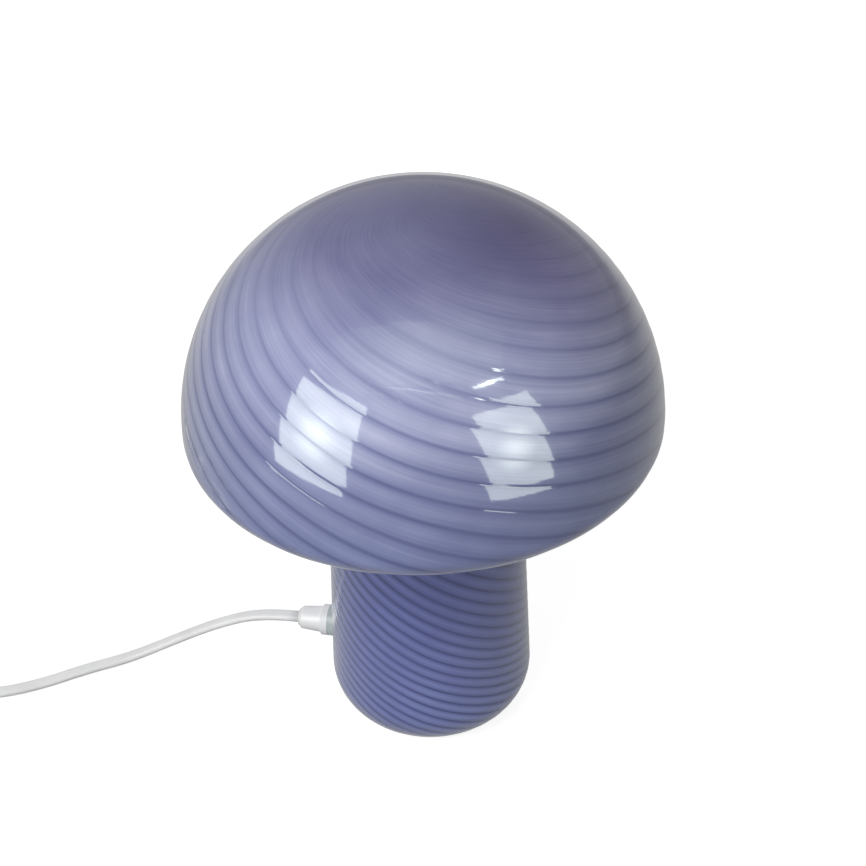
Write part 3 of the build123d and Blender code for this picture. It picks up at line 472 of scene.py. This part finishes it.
def profile_rows():
    """(place, rib direction, distance down, twist, lean) for the outer side, foot and inner side."""
    rows, down = [], 0.0
    last = outer[0][0]
    for place, out in outer:
        down += (place - last).length
        last = place
        at = down * 1000
        fade = (min(1.0, max(0.0, (at - PLAIN_MM) / RISE_MM))
                * min(1.0, max(0.0, (place.y - FOOT_LOW) / FOOT_FADE)))
        rows.append((place, out * fade, down, math.radians(smooth_between(TWIST, at)),
                     (math.radians(smooth_between(LEAN, at, 1)),
                      math.radians(smooth_between(LEAN, at, 2)))))
    foot = rows[-1]
    bare = Vector((0, 0))
    inner = [(place - out * WALL) for place, out in outer]
    inner = [place for place in inner if not (place.x < MOUTH_RADIUS and place.y < INNER_LOW)]
    kept = inner[::-INNER_STEP]
    if kept[-1].x > 1e-6:
        kept.append(inner[0])
    # down to the mouth's edge, then up inside
    mouth_top = kept[0].y
    rows.append((Vector((MOUTH_RADIUS, FOOT_LOW)), bare, *foot[2:]))
    rows.append((Vector((MOUTH_RADIUS, mouth_top)), bare, *foot[2:]))
    for place in kept:
        rows.append((place, bare, *foot[2:]))
    return rows


profile = profile_rows()
print("profile rows", len(profile), "down the outside", round(profile[len(outer) - 1][2], 4))

# %% [markdown]
# The profile goes into the tree as bare points. The tree makes a sheet of quads, as many
# down as the profile has points, reads each point's place and swirl from the profile, lifts
# it on its rib, and turns it about the axis.

# %% Profile points for the tree
profile_mesh = bpy.data.meshes.new("glass_profile")
profile_mesh.from_pydata([(p.x, 0, p.y) for p, *_ in profile], [], [])
for name, kind, values in (
        ("rib_way", "FLOAT_VECTOR", [(o.x, 0, o.y) for _, o, *_ in profile]),
        ("lean", "FLOAT_VECTOR", [(*row[4], 0) for row in profile]),
        ("down", "FLOAT", [row[2] for row in profile]),
        ("twist", "FLOAT", [row[3] for row in profile])):
    layer = profile_mesh.attributes.new(name, kind, "POINT")
    for item, value in zip(layer.data, values):
        if kind == "FLOAT":
            item.value = value
        else:
            item.vector = value

# %% The tree
tree = bpy.data.node_groups.new("turned_swirl", "GeometryNodeTree")
tree.interface.new_socket("Geometry", in_out="INPUT", socket_type="NodeSocketGeometry")
inputs = {}
for label, kind in (("Columns", "NodeSocketInt"), ("Ribs", "NodeSocketFloat"),
                    ("Rib Height", "NodeSocketFloat"), ("Front", "NodeSocketFloat"),
                    ("Material", "NodeSocketMaterial")):
    inputs[label] = tree.interface.new_socket(label, in_out="INPUT", socket_type=kind)
tree.interface.new_socket("Geometry", in_out="OUTPUT", socket_type="NodeSocketGeometry")
group_in = tree.nodes.new("NodeGroupInput")
group_out = tree.nodes.new("NodeGroupOutput")


def geo(kind, sources=(), **settings):
    """A node in the tree; sources are sockets or values for its inputs, in order."""
    node = tree.nodes.new(kind)
    for name, value in settings.items():
        setattr(node, name, value)
    for socket, source in zip([s for s in node.inputs if s.enabled], sources):
        if isinstance(source, bpy.types.NodeSocket):
            tree.links.new(source, socket)
        elif source is not None:
            socket.default_value = source
    return node


def math_of(operation, *sources):
    return geo("ShaderNodeMath", sources, operation=operation).outputs[0]


def read_profile(kind, source):
    """The profile's own value at this point's row."""
    return geo("GeometryNodeSampleIndex", (group_in.outputs["Geometry"], source, row),
               data_type=kind, domain="POINT").outputs[0]


def stored(kind, name):
    node = geo("GeometryNodeInputNamedAttribute", (name,), data_type=kind)
    return next(s for s in node.outputs if s.enabled and s.name == "Attribute")


MERGE_DISTANCE = 0.000005

size = geo("GeometryNodeAttributeDomainSize", (group_in.outputs["Geometry"],))
row_count = size.outputs["Point Count"]
columns = group_in.outputs["Columns"]
sheet = geo("GeometryNodeMeshGrid", (1.0, 1.0, math_of("ADD", columns, 1.0), row_count))
index = geo("GeometryNodeInputIndex").outputs[0]
row = math_of("MODULO", index, row_count)
column = math_of("FLOOR", math_of("DIVIDE", index, row_count))
angle = math_of("MULTIPLY", math_of("DIVIDE", column, columns), math.tau)
turned = math_of("SUBTRACT", angle, group_in.outputs["Front"])
lean = geo("ShaderNodeSeparateXYZ", (
    read_profile("FLOAT_VECTOR", stored("FLOAT_VECTOR", "lean")),))
swing = math_of("ADD", math_of("MULTIPLY", lean.outputs[0], math_of("COSINE", turned)),
                math_of("MULTIPLY", lean.outputs[1], math_of("SINE", turned)))
swirl = math_of("SUBTRACT", math_of("ADD", turned, swing),
                read_profile("FLOAT", stored("FLOAT", "twist")))
across = math_of("FRACT", math_of(
    "DIVIDE", math_of("MULTIPLY", swirl, group_in.outputs["Ribs"]), math.tau))
off_middle = math_of("SUBTRACT", math_of("MULTIPLY", across, 2.0), 1.0)
lift = math_of("MULTIPLY", group_in.outputs["Rib Height"],
               math_of("SUBTRACT", 0.6, math_of("POWER", math_of("ABSOLUTE", off_middle), 2.6)))
way = geo("ShaderNodeVectorMath", (
    read_profile("FLOAT_VECTOR", stored("FLOAT_VECTOR", "rib_way")),), operation="SCALE")
tree.links.new(lift, way.inputs["Scale"])
place = geo("ShaderNodeVectorMath", (
    read_profile("FLOAT_VECTOR", geo("GeometryNodeInputPosition").outputs[0]), way.outputs[0]),
    operation="ADD").outputs[0]
round_place = geo("ShaderNodeVectorRotate", rotation_type="Z_AXIS")
tree.links.new(place, round_place.inputs["Vector"])
tree.links.new(angle, round_place.inputs["Angle"])
moved = geo("GeometryNodeSetPosition", (sheet.outputs["Mesh"],))
tree.links.new(round_place.outputs[0], moved.inputs["Position"])
mark = geo("ShaderNodeCombineXYZ", (
    math_of("COSINE", swirl), math_of("SINE", swirl),
    read_profile("FLOAT", stored("FLOAT", "down"))))
kept = geo("GeometryNodeStoreNamedAttribute", data_type="FLOAT_VECTOR", domain="POINT")
tree.links.new(sheet.outputs["Mesh"], kept.inputs["Geometry"])
kept.inputs["Name"].default_value = "swirl"
tree.links.new(mark.outputs[0], kept.inputs["Value"])
tree.links.new(kept.outputs[0], moved.inputs["Geometry"])
closed = geo("GeometryNodeMergeByDistance", (moved.outputs[0],))
closed.inputs["Distance"].default_value = MERGE_DISTANCE
smooth = geo("GeometryNodeSetShadeSmooth", (closed.outputs[0],))
whole = geo("GeometryNodeRealizeInstances", (smooth.outputs[0],))
painted = geo("GeometryNodeSetMaterial", (whole.outputs[0],))
tree.links.new(group_in.outputs["Material"], painted.inputs["Material"])
tree.links.new(painted.outputs[0], group_out.inputs[0])
print("tree nodes", len(tree.nodes))

# %% [markdown]
# ## The finish of the glass
# Opal glass in a dusty violet-blue. Each rib is paler along its middle and ends in a thin
# dark line along the groove. Milky streaks follow the ribs.
# The pattern reads the swirl's own attribute, so it cannot slide off the ribs.

# %% Glass finish
glass_finish, shader = new_material(
    "swirled_opal_glass", 0.10, Coat_Weight=1.0, Coat_Roughness=0.015, Coat_IOR=1.5, IOR=1.45)
mark = add(glass_finish, "ShaderNodeAttribute", attribute_name="swirl")
parts = add(glass_finish, "ShaderNodeSeparateXYZ")
join(glass_finish, mark.outputs["Vector"], parts.inputs[0])
turn = calculate(glass_finish, "ARCTAN2", parts.outputs[1], parts.outputs[0])
band = calculate(glass_finish, "FRACT",
                 calculate(glass_finish, "MULTIPLY", turn, -RIBS / math.tau))
down = parts.outputs[2]

streak_place = stretched(glass_finish, mark.outputs["Vector"], (9.0, 9.0, 25.0))
streaks = noise(glass_finish, streak_place, 1.6, 4.0, 0.6)
fine_place = stretched(glass_finish, mark.outputs["Vector"], (30, 30, 40))
fine = noise(glass_finish, fine_place, 1.5, 3.0)
clouds = noise(glass_finish, object_place(glass_finish), 22, 3.0)

shaken = calculate(glass_finish, "SUBTRACT", streaks, 0.5)
wavy = calculate(glass_finish, "ADD", band, calculate(glass_finish, "MULTIPLY", shaken, 0.10))
rib_tone = ramp(glass_finish, wavy, [
    (0.0, (0.54, 0.56, 0.68)), (0.08, (0.66, 0.68, 0.78)), (0.22, (0.86, 0.87, 0.91)),
    (0.45, (1.08, 1.07, 1.04)), (0.68, (0.94, 0.95, 0.97)), (0.88, (0.74, 0.76, 0.84)),
    (1.0, (0.56, 0.58, 0.70))])
line_tone = ramp(glass_finish, band, [
    (0.0, (0.68, 0.69, 0.80)), (0.06, (0.86, 0.87, 0.93)), (0.13, (1, 1, 1)),
    (0.88, (1, 1, 1)), (0.965, (0.70, 0.71, 0.82)), (1.0, (0.68, 0.69, 0.80))])
tones = mix(glass_finish, rib_tone, line_tone)

# %% Where the ribs show
# the ribs melt together near the top of the cap, and each line is stronger here, fainter there
PLAIN_TONE = (0.88, 0.88, 0.90, 1)
near_top = map_range(glass_finish, down, 0.030, 0.115)
wander = map_range(glass_finish, clouds, 0.35, 0.62, 0.72, 1.0, "LINEAR")
# the bands stand out more on the stem
stem_bands = map_range(glass_finish, down, 0.15, 0.22, 1.0, 1.8)
harder = add(glass_finish, "ShaderNodeGamma")
join(glass_finish, tones, harder.inputs["Color"])
join(glass_finish, stem_bands, harder.inputs["Gamma"])
faded = mix(glass_finish, PLAIN_TONE, harder.outputs["Color"],
            calculate(glass_finish, "MULTIPLY", near_top, wander), "MIX")
print("ribs", RIBS)

# %% Colour, painted light and painted shade down the glass
# the colour is deeper at the crown, under the rim and down the stem, and lighter across the middle
# of the dome: distance down, and a tint set by comparing renders with the lamp's picture. This is
# partly the glass's own colour and partly painted light and shade: painted shade at the crown and
# under the rim, where the cap shades the stem, and painted light across the middle of the dome
DEPTH_SPAN = 0.36
PAINTED_SHADE_AND_COLOUR = [
    (0.000, (0.45, 0.42, 0.54)), (0.040, (0.55, 0.53, 0.64)), (0.074, (1.14, 1.14, 1.10)),
    (0.098, (1.20, 1.20, 1.13)), (0.114, (0.84, 0.87, 0.90)), (0.130, (0.69, 0.74, 0.83)),
    (0.145, (0.60, 0.67, 0.82)), (0.162, (0.33, 0.41, 0.68)), (0.180, (0.25, 0.32, 0.58)),
    (0.225, (0.33, 0.40, 0.78)), (0.280, (0.51, 0.59, 0.90)), (0.360, (0.58, 0.68, 0.94))]
# a deeper violet patch lies on the upper right of the cap: its middle, reach and tint
VIOLET_PATCH = (0.050, 0.005, 0.228)
PATCH_NEAR, PATCH_FAR = 0.012, 0.062
PATCH_TINT = (0.60, 0.54, 0.70, 1)

cloudy = calculate(glass_finish, "ADD", calculate(glass_finish, "MULTIPLY", clouds, 0.6),
                   calculate(glass_finish, "MULTIPLY", fine, 0.4))
tint = ramp(glass_finish, cloudy, [
    (0.32, (0.262, 0.278, 0.474)), (0.50, (0.330, 0.348, 0.546)),
    (0.68, (0.408, 0.426, 0.618))])
depth = calculate(glass_finish, "DIVIDE", down, DEPTH_SPAN)
# painted light and painted shade, with the glass's own deeper colour, laid down the profile
painted_shade_and_colour = ramp(glass_finish, depth, [(at / DEPTH_SPAN, tone) for at, tone in PAINTED_SHADE_AND_COLOUR])
patch_gap = add(glass_finish, "ShaderNodeVectorMath", operation="DISTANCE")
join(glass_finish, object_place(glass_finish), patch_gap.inputs[0])
patch_gap.inputs[1].default_value = VIOLET_PATCH
in_patch = map_range(glass_finish, patch_gap.outputs["Value"], PATCH_NEAR, PATCH_FAR, 1.0, 0.0)
patched = mix(glass_finish, mix(glass_finish, tint, painted_shade_and_colour), PATCH_TINT, in_patch)
join(glass_finish, mix(glass_finish, patched, faded), shader.inputs["Base Color"])
print("depth tints", len(PAINTED_SHADE_AND_COLOUR), "over", DEPTH_SPAN, "m")

# %% Creases of the glass
CREASE_STRENGTH = 0.32
CREASE_DEPTH = 0.00015
# a shallow crease along each line, and a slight waviness
crease = ramp(glass_finish, band, [
    (0.0, (0, 0, 0)), (0.05, (0.8, 0.8, 0.8)), (0.12, (1, 1, 1)), (0.90, (1, 1, 1)),
    (1.0, (0, 0, 0))])
height = calculate(glass_finish, "ADD", calculate(glass_finish, "MULTIPLY", crease, near_top),
                   calculate(glass_finish, "MULTIPLY", streaks, 0.35))
creased = bump(glass_finish, shader, height, CREASE_STRENGTH, CREASE_DEPTH)
join(glass_finish, creased.outputs["Normal"], shader.inputs["Coat Normal"])
print("crease bump distance", CREASE_DEPTH * 1000, "mm")

# %% Make the glass
GLASS_COLUMNS = 192
RIB_HEIGHT = 0.00011
SHARP_ANGLE = math.radians(40)


def run_tree(source, values):
    """A plain mesh object from the tree's result on source."""
    modifier = source.modifiers.new("make", "NODES")
    modifier.node_group = tree
    for label, value in values.items():
        modifier[inputs[label].identifier] = value
    bpy.context.view_layer.update()
    result = source.evaluated_get(bpy.context.evaluated_depsgraph_get())
    mesh = bpy.data.meshes.new_from_object(result)
    source.modifiers.remove(modifier)
    return mesh


profile_object = bpy.data.objects.new("glass_profile", profile_mesh)
bpy.context.scene.collection.objects.link(profile_object)
glass_mesh = run_tree(profile_object, {
    "Columns": GLASS_COLUMNS, "Ribs": float(RIBS), "Rib Height": RIB_HEIGHT, "Front": SWIRL_FRONT,
    "Material": glass_finish})
bpy.data.objects.remove(profile_object)

build = bmesh.new()
build.from_mesh(glass_mesh)
bmesh.ops.remove_doubles(build, verts=build.verts, dist=MERGE_DISTANCE)
if build.calc_volume(signed=True) < 0:
    bmesh.ops.reverse_faces(build, faces=build.faces)
open_edges = sum(1 for edge in build.edges if not edge.is_manifold)
volume = round(build.calc_volume(signed=True) * 1e6, 1)
print("glass volume", volume, "cm3, open edges", open_edges)
build.to_mesh(glass_mesh)
build.free()
glass_mesh.set_sharp_from_angle(angle=SHARP_ANGLE)
glass = bpy.data.objects.new("swirled_glass", glass_mesh)
bpy.context.scene.collection.objects.link(glass)
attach(glass, "lamp")
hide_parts("glass_body")
print("glass triangles", sum(len(face.vertices) - 2 for face in glass_mesh.polygons))

# %% [markdown]
# ## The other finishes
# Moulded white plastics for the grip, the holder, the switch and the plug; zinc plate,
# brass and spring steel for the hardware; clear glass for the bulb.

# %% Plastics
def plastic(name, low, high, roughness, grain=1500.0, strength=0.08, **sockets):
    material, shader = new_material(name, roughness, **sockets)
    place = object_place(material)
    join(material, ramp(material, noise(material, place, 45), [(0.35, low), (0.65, high)]),
         shader.inputs["Base Color"])
    bump(material, shader, noise(material, place, grain, 2.0), strength, 0.0001)
    return material


white_gloss = plastic("white_moulded_plastic", (0.89, 0.89, 0.88), (0.93, 0.93, 0.92), 0.25)
white_rocker = plastic("white_rocker_plastic", (0.82, 0.82, 0.81), (0.86, 0.86, 0.85), 0.18)
white_matte = plastic("holder_plastic", (0.76, 0.76, 0.74), (0.82, 0.82, 0.80), 0.45)
cream = plastic("insulating_plastic", (0.70, 0.68, 0.61), (0.77, 0.75, 0.69), 0.5)
soft_grey = plastic("soft_bush", (0.62, 0.62, 0.61), (0.70, 0.70, 0.69), 0.6)
clear_soft = plastic("clear_soft_plastic", (0.68, 0.76, 0.73), (0.78, 0.84, 0.81), 0.2,
                     Transmission_Weight=0.35)
foam = plastic("black_foam", (0.015, 0.015, 0.015), (0.04, 0.04, 0.04), 0.9, 700.0, 0.6)
black_gloss = plastic("black_glazed_bead", (0.015, 0.015, 0.017), (0.03, 0.03, 0.032), 0.15)
filament = plastic("coated_filament", (0.80, 0.52, 0.12), (0.92, 0.66, 0.20), 0.5)
painted = plastic("white_powder_coat", (0.74, 0.74, 0.73), (0.80, 0.80, 0.79), 0.45, 900.0, 0.3)

# %% Metals
def metal(name, low, high, roughness, stretch=(1, 1, 30)):
    material, shader = new_material(name, roughness, Metallic=1.0)
    place = object_place(material)
    drawn = noise(material, stretched(material, place, stretch), 220, 3.0)
    join(material, ramp(material, drawn, [(0.3, low), (0.7, high)]), shader.inputs["Base Color"])
    uneven = calculate(material, "MULTIPLY", calculate(material, "SUBTRACT", drawn, 0.5), 0.2)
    join(material, calculate(material, "ADD", roughness, uneven), shader.inputs["Roughness"])
    bump(material, shader, drawn, 0.1, 0.0001)
    return material


zinc = metal("zinc_plated_steel", (0.60, 0.61, 0.62), (0.72, 0.72, 0.73), 0.32)
spring = metal("spring_steel", (0.50, 0.51, 0.53), (0.62, 0.63, 0.64), 0.25)
rivet = metal("bright_rivet", (0.66, 0.66, 0.67), (0.78, 0.78, 0.78), 0.25)
brass = metal("plain_brass", (0.66, 0.48, 0.20), (0.80, 0.62, 0.30), 0.28)
cap_metal = metal("bulb_cap_metal", (0.66, 0.66, 0.65), (0.80, 0.80, 0.79), 0.22)
nickel = metal("nickel_plate", (0.66, 0.65, 0.62), (0.78, 0.77, 0.74), 0.18)

# %% Clear glass of the bulb
bulb_glass, shader = new_material("clear_bulb_glass", 0.03, Transmission_Weight=1.0, IOR=1.45)
place = object_place(bulb_glass)
join(bulb_glass, ramp(bulb_glass, noise(bulb_glass, place, 30), [
    (0.3, (0.93, 0.95, 0.95)), (0.7, (0.98, 0.99, 0.99))]), shader.inputs["Base Color"])

# %% Dress the CAD pieces
FINISHES = {
    white_gloss: ["cord_grip", "grip_nut", "switch_base", "switch_top", "plug_body"],
    white_rocker: ["switch_rocker"],
    soft_grey: ["grip_bush"],
    clear_soft: ["outer_washer", "inner_washer", "bumper_1", "bumper_2", "bumper_3", "bumper_4"],
    painted: ["base_plate"],
    foam: ["foot_gasket"],
    rivet: ["clip_rivets", "stirrup_rivets", "bulb_tip_contact", "switch_screws"],
    zinc: ["stirrup", "nipple", "lock_washer"],
    spring: ["spring_clip_1", "spring_clip_2", "spring_clip_3", "spring_clip_4"],
    brass: ["nipple_nut", "contact_shell", "centre_contact", "terminal_screws", "switch_seesaw",
            "switch_terminals"],
    white_matte: ["holder_cap", "holder_shell"],
    cream: ["holder_insulator"],
    black_gloss: ["bulb_bead"],
    cap_metal: ["bulb_screw_cap", "filament_supports"],
    bulb_glass: ["bulb_envelope", "bulb_glass_stem"],
    filament: ["led_filaments"],
    cord_finish: ["inner_lead"],
    nickel: ["plug_pin_left", "plug_pin_right"],
}
for finish, names in FINISHES.items():
    for name in names:
        dress(name, finish)
print("dressed", sum(len(names) for names in FINISHES.values()), "CAD pieces")

# %% [markdown]
# ## Floor, world and lights
# A plain floor runs to the horizon under an even world. Both look white to the camera and
# darker to reflections, and the floor keeps the lamp's faint shadow. From below the floor is
# clear. The panels that show in the glass and the lamps that light it follow after that.

# %% Floor
FLOOR_GREY = 0.38
FLOOR_GLOW = 0.86            # for the camera and for what is seen through glass
FLOOR_GLOW_REFLECTED = 0.20
FLOOR_LEVEL = -0.0002        # just under the feet, so that no two faces share one plane
FLOOR_SIZE = 12.0

bpy.ops.mesh.primitive_plane_add(size=FLOOR_SIZE, location=(0, 0, FLOOR_LEVEL))
floor = bpy.context.object
floor.name = "floor"
floor_finish = bpy.data.materials.new("pale_floor")
floor_finish.use_nodes = True
tree_nodes = floor_finish.node_tree.nodes
tree_nodes.remove(tree_nodes["Principled BSDF"])
plain = add(floor_finish, "ShaderNodeBsdfDiffuse")
plain.inputs["Color"].default_value = (FLOOR_GREY, FLOOR_GREY, FLOOR_GREY, 1)
glow = add(floor_finish, "ShaderNodeEmission")
rays = add(floor_finish, "ShaderNodeLightPath")
direct = calculate(floor_finish, "MAXIMUM", rays.outputs["Is Camera Ray"],
                   rays.outputs["Is Transmission Ray"])
seen = calculate(floor_finish, "MULTIPLY", direct, FLOOR_GLOW)
reflected = calculate(floor_finish, "MULTIPLY", rays.outputs["Is Glossy Ray"], FLOOR_GLOW_REFLECTED)
join(floor_finish, calculate(floor_finish, "MAXIMUM", seen, reflected), glow.inputs["Strength"])
both = add(floor_finish, "ShaderNodeAddShader")
join(floor_finish, plain.outputs[0], both.inputs[0])
join(floor_finish, glow.outputs[0], both.inputs[1])
# from below the floor is clear, so that the underside can be looked at
side = add(floor_finish, "ShaderNodeNewGeometry")
either = add(floor_finish, "ShaderNodeMixShader")
join(floor_finish, side.outputs["Backfacing"], either.inputs["Fac"])
join(floor_finish, both.outputs[0], either.inputs[1])
join(floor_finish, add(floor_finish, "ShaderNodeBsdfTransparent").outputs[0], either.inputs[2])
join(floor_finish, either.outputs[0], tree_nodes["Material Output"].inputs["Surface"])
floor.data.materials.append(floor_finish)
print("floor grey", FLOOR_GREY, "glow", FLOOR_GLOW)

# %% World
WORLD_LIGHT = 0.19
WORLD_REFLECTED = 0.36
# the far floor's own level, so that no edge shows
WORLD_SEEN = FLOOR_GLOW + FLOOR_GREY * WORLD_LIGHT

world = bpy.data.worlds.new("studio")
bpy.context.scene.world = world
world.use_nodes = True
background = world.node_tree.nodes["Background"]
background.inputs["Color"].default_value = (1, 1, 1, 1)
rays = add(world, "ShaderNodeLightPath")
direct = calculate(world, "MAXIMUM", rays.outputs["Is Camera Ray"],
                   rays.outputs["Is Transmission Ray"])
seen = calculate(world, "MULTIPLY", direct, WORLD_SEEN)
reflected = calculate(world, "MULTIPLY", rays.outputs["Is Glossy Ray"], WORLD_REFLECTED)
brighter = calculate(world, "MAXIMUM", seen, reflected)
join(world, calculate(world, "MAXIMUM", brighter, WORLD_LIGHT), background.inputs["Strength"])
print("world light", WORLD_LIGHT, "reflected", WORLD_REFLECTED)

# %% [markdown]
# A glossy body shows its lights as shapes. Here two tall panels, brighter in their middle,
# make the two bright shapes on the cap, with a thin strip, a line and a faint glow beside
# them. Only reflections see these. Three soft lamps, which no reflection shows, give the
# light. So the shape of the highlights and the level of the light are set apart.

# %% Where a panel or lamp stands
LAMP_MIDDLE = Vector((0, 0, 0.19))


def away_from_lamp(turn, rise):
    """The direction from the lamp at a compass turn and a height of view, in degrees."""
    turn, rise = math.radians(turn), math.radians(rise)
    level = math.cos(rise)
    return Vector((math.cos(turn) * level, math.sin(turn) * level, math.sin(rise)))


# %% Reflected panels
PANEL_COLOUR = (0.91, 1.0, 0.90, 1)
SPOT_SHARE = 0.8             # of the panel's half-width, for the soft spot
SPOT_GAIN = 1.9              # how much brighter its middle is


def panel(name, turn, low, high, half_width, distance, brightness):
    """A card between two heights of view, brighter in a soft spot at its middle."""
    away = away_from_lamp(turn, (low + high) / 2)
    wide = distance * math.tan(math.radians(half_width))
    tall = distance * math.tan(math.radians((high - low) / 2))
    facing = away.to_track_quat("Z", "Y").to_matrix()
    centre = LAMP_MIDDLE + away * distance
    mesh = bpy.data.meshes.new(name)
    corners = ((-wide, -tall, 0), (wide, -tall, 0), (wide, tall, 0), (-wide, tall, 0))
    mesh.from_pydata([centre + facing @ Vector(corner) for corner in corners], [], [(0, 1, 2, 3)])
    card = bpy.data.objects.new(name, mesh)
    bpy.context.scene.collection.objects.link(card)
    for kind in ("camera", "diffuse", "transmission", "volume_scatter", "shadow"):
        setattr(card, "visible_" + kind, False)

    finish = bpy.data.materials.new(name)
    finish.use_nodes = True
    finish.node_tree.nodes.remove(finish.node_tree.nodes["Principled BSDF"])
    light = add(finish, "ShaderNodeEmission")
    light.inputs["Color"].default_value = PANEL_COLOUR
    gap = add(finish, "ShaderNodeVectorMath", operation="DISTANCE")
    join(finish, object_place(finish), gap.inputs[0])
    gap.inputs[1].default_value = centre
    spot = map_range(finish, gap.outputs["Value"], 0.0, SPOT_SHARE * wide,
                     SPOT_GAIN * brightness, brightness)
    join(finish, spot, light.inputs["Strength"])
    join(finish, light.outputs[0], finish.node_tree.nodes["Material Output"].inputs["Surface"])
    mesh.materials.append(finish)
    print(name, round(2 * wide, 2), "x", round(2 * tall, 2), "m")


PANELS = (
    # name, compass turn, lower and upper height of view, half-width, distance, brightness
    ("panel_left", -128.3, -5.5, 35, 17.5, 0.95, 5.1),
    ("panel_right", -37.6, -11, 31, 15.0, 0.95, 4.5),
    ("strip_right", -38, 40.5, 42.5, 8.0, 0.95, 9.0),
    ("edge_line", -84, 45.0, 46.0, 22.0, 0.93, 1.5),
    ("ceiling_glow", -80, 48, 78, 36.0, 0.95, 0.7),
)
for settings in PANELS:
    panel(*settings)


# %% Soft lamps
SOFT_LAMP_DISTANCE = 1.1
SOFT_LAMP_SIZE = 0.7


def soft_lamp(name, turn, rise, level):
    """A square lamp; level is about how bright a white surface that faces it becomes."""
    away = away_from_lamp(turn, rise)
    data = bpy.data.lights.new(name, "AREA")
    data.size = SOFT_LAMP_SIZE
    data.energy = level * (math.pi * SOFT_LAMP_DISTANCE) ** 2
    light = bpy.data.objects.new(name, data)
    light.location = LAMP_MIDDLE + away * SOFT_LAMP_DISTANCE
    light.rotation_euler = away.to_track_quat("Z", "Y").to_euler()
    light.visible_glossy = False
    light.visible_camera = False
    bpy.context.scene.collection.objects.link(light)
    print(name, round(data.energy, 1), "W")


soft_lamp("lamp_left", -114, 40, 0.91)
soft_lamp("lamp_right", -38, 35, 0.09)
soft_lamp("lamp_behind", 102, 14, 0.42)
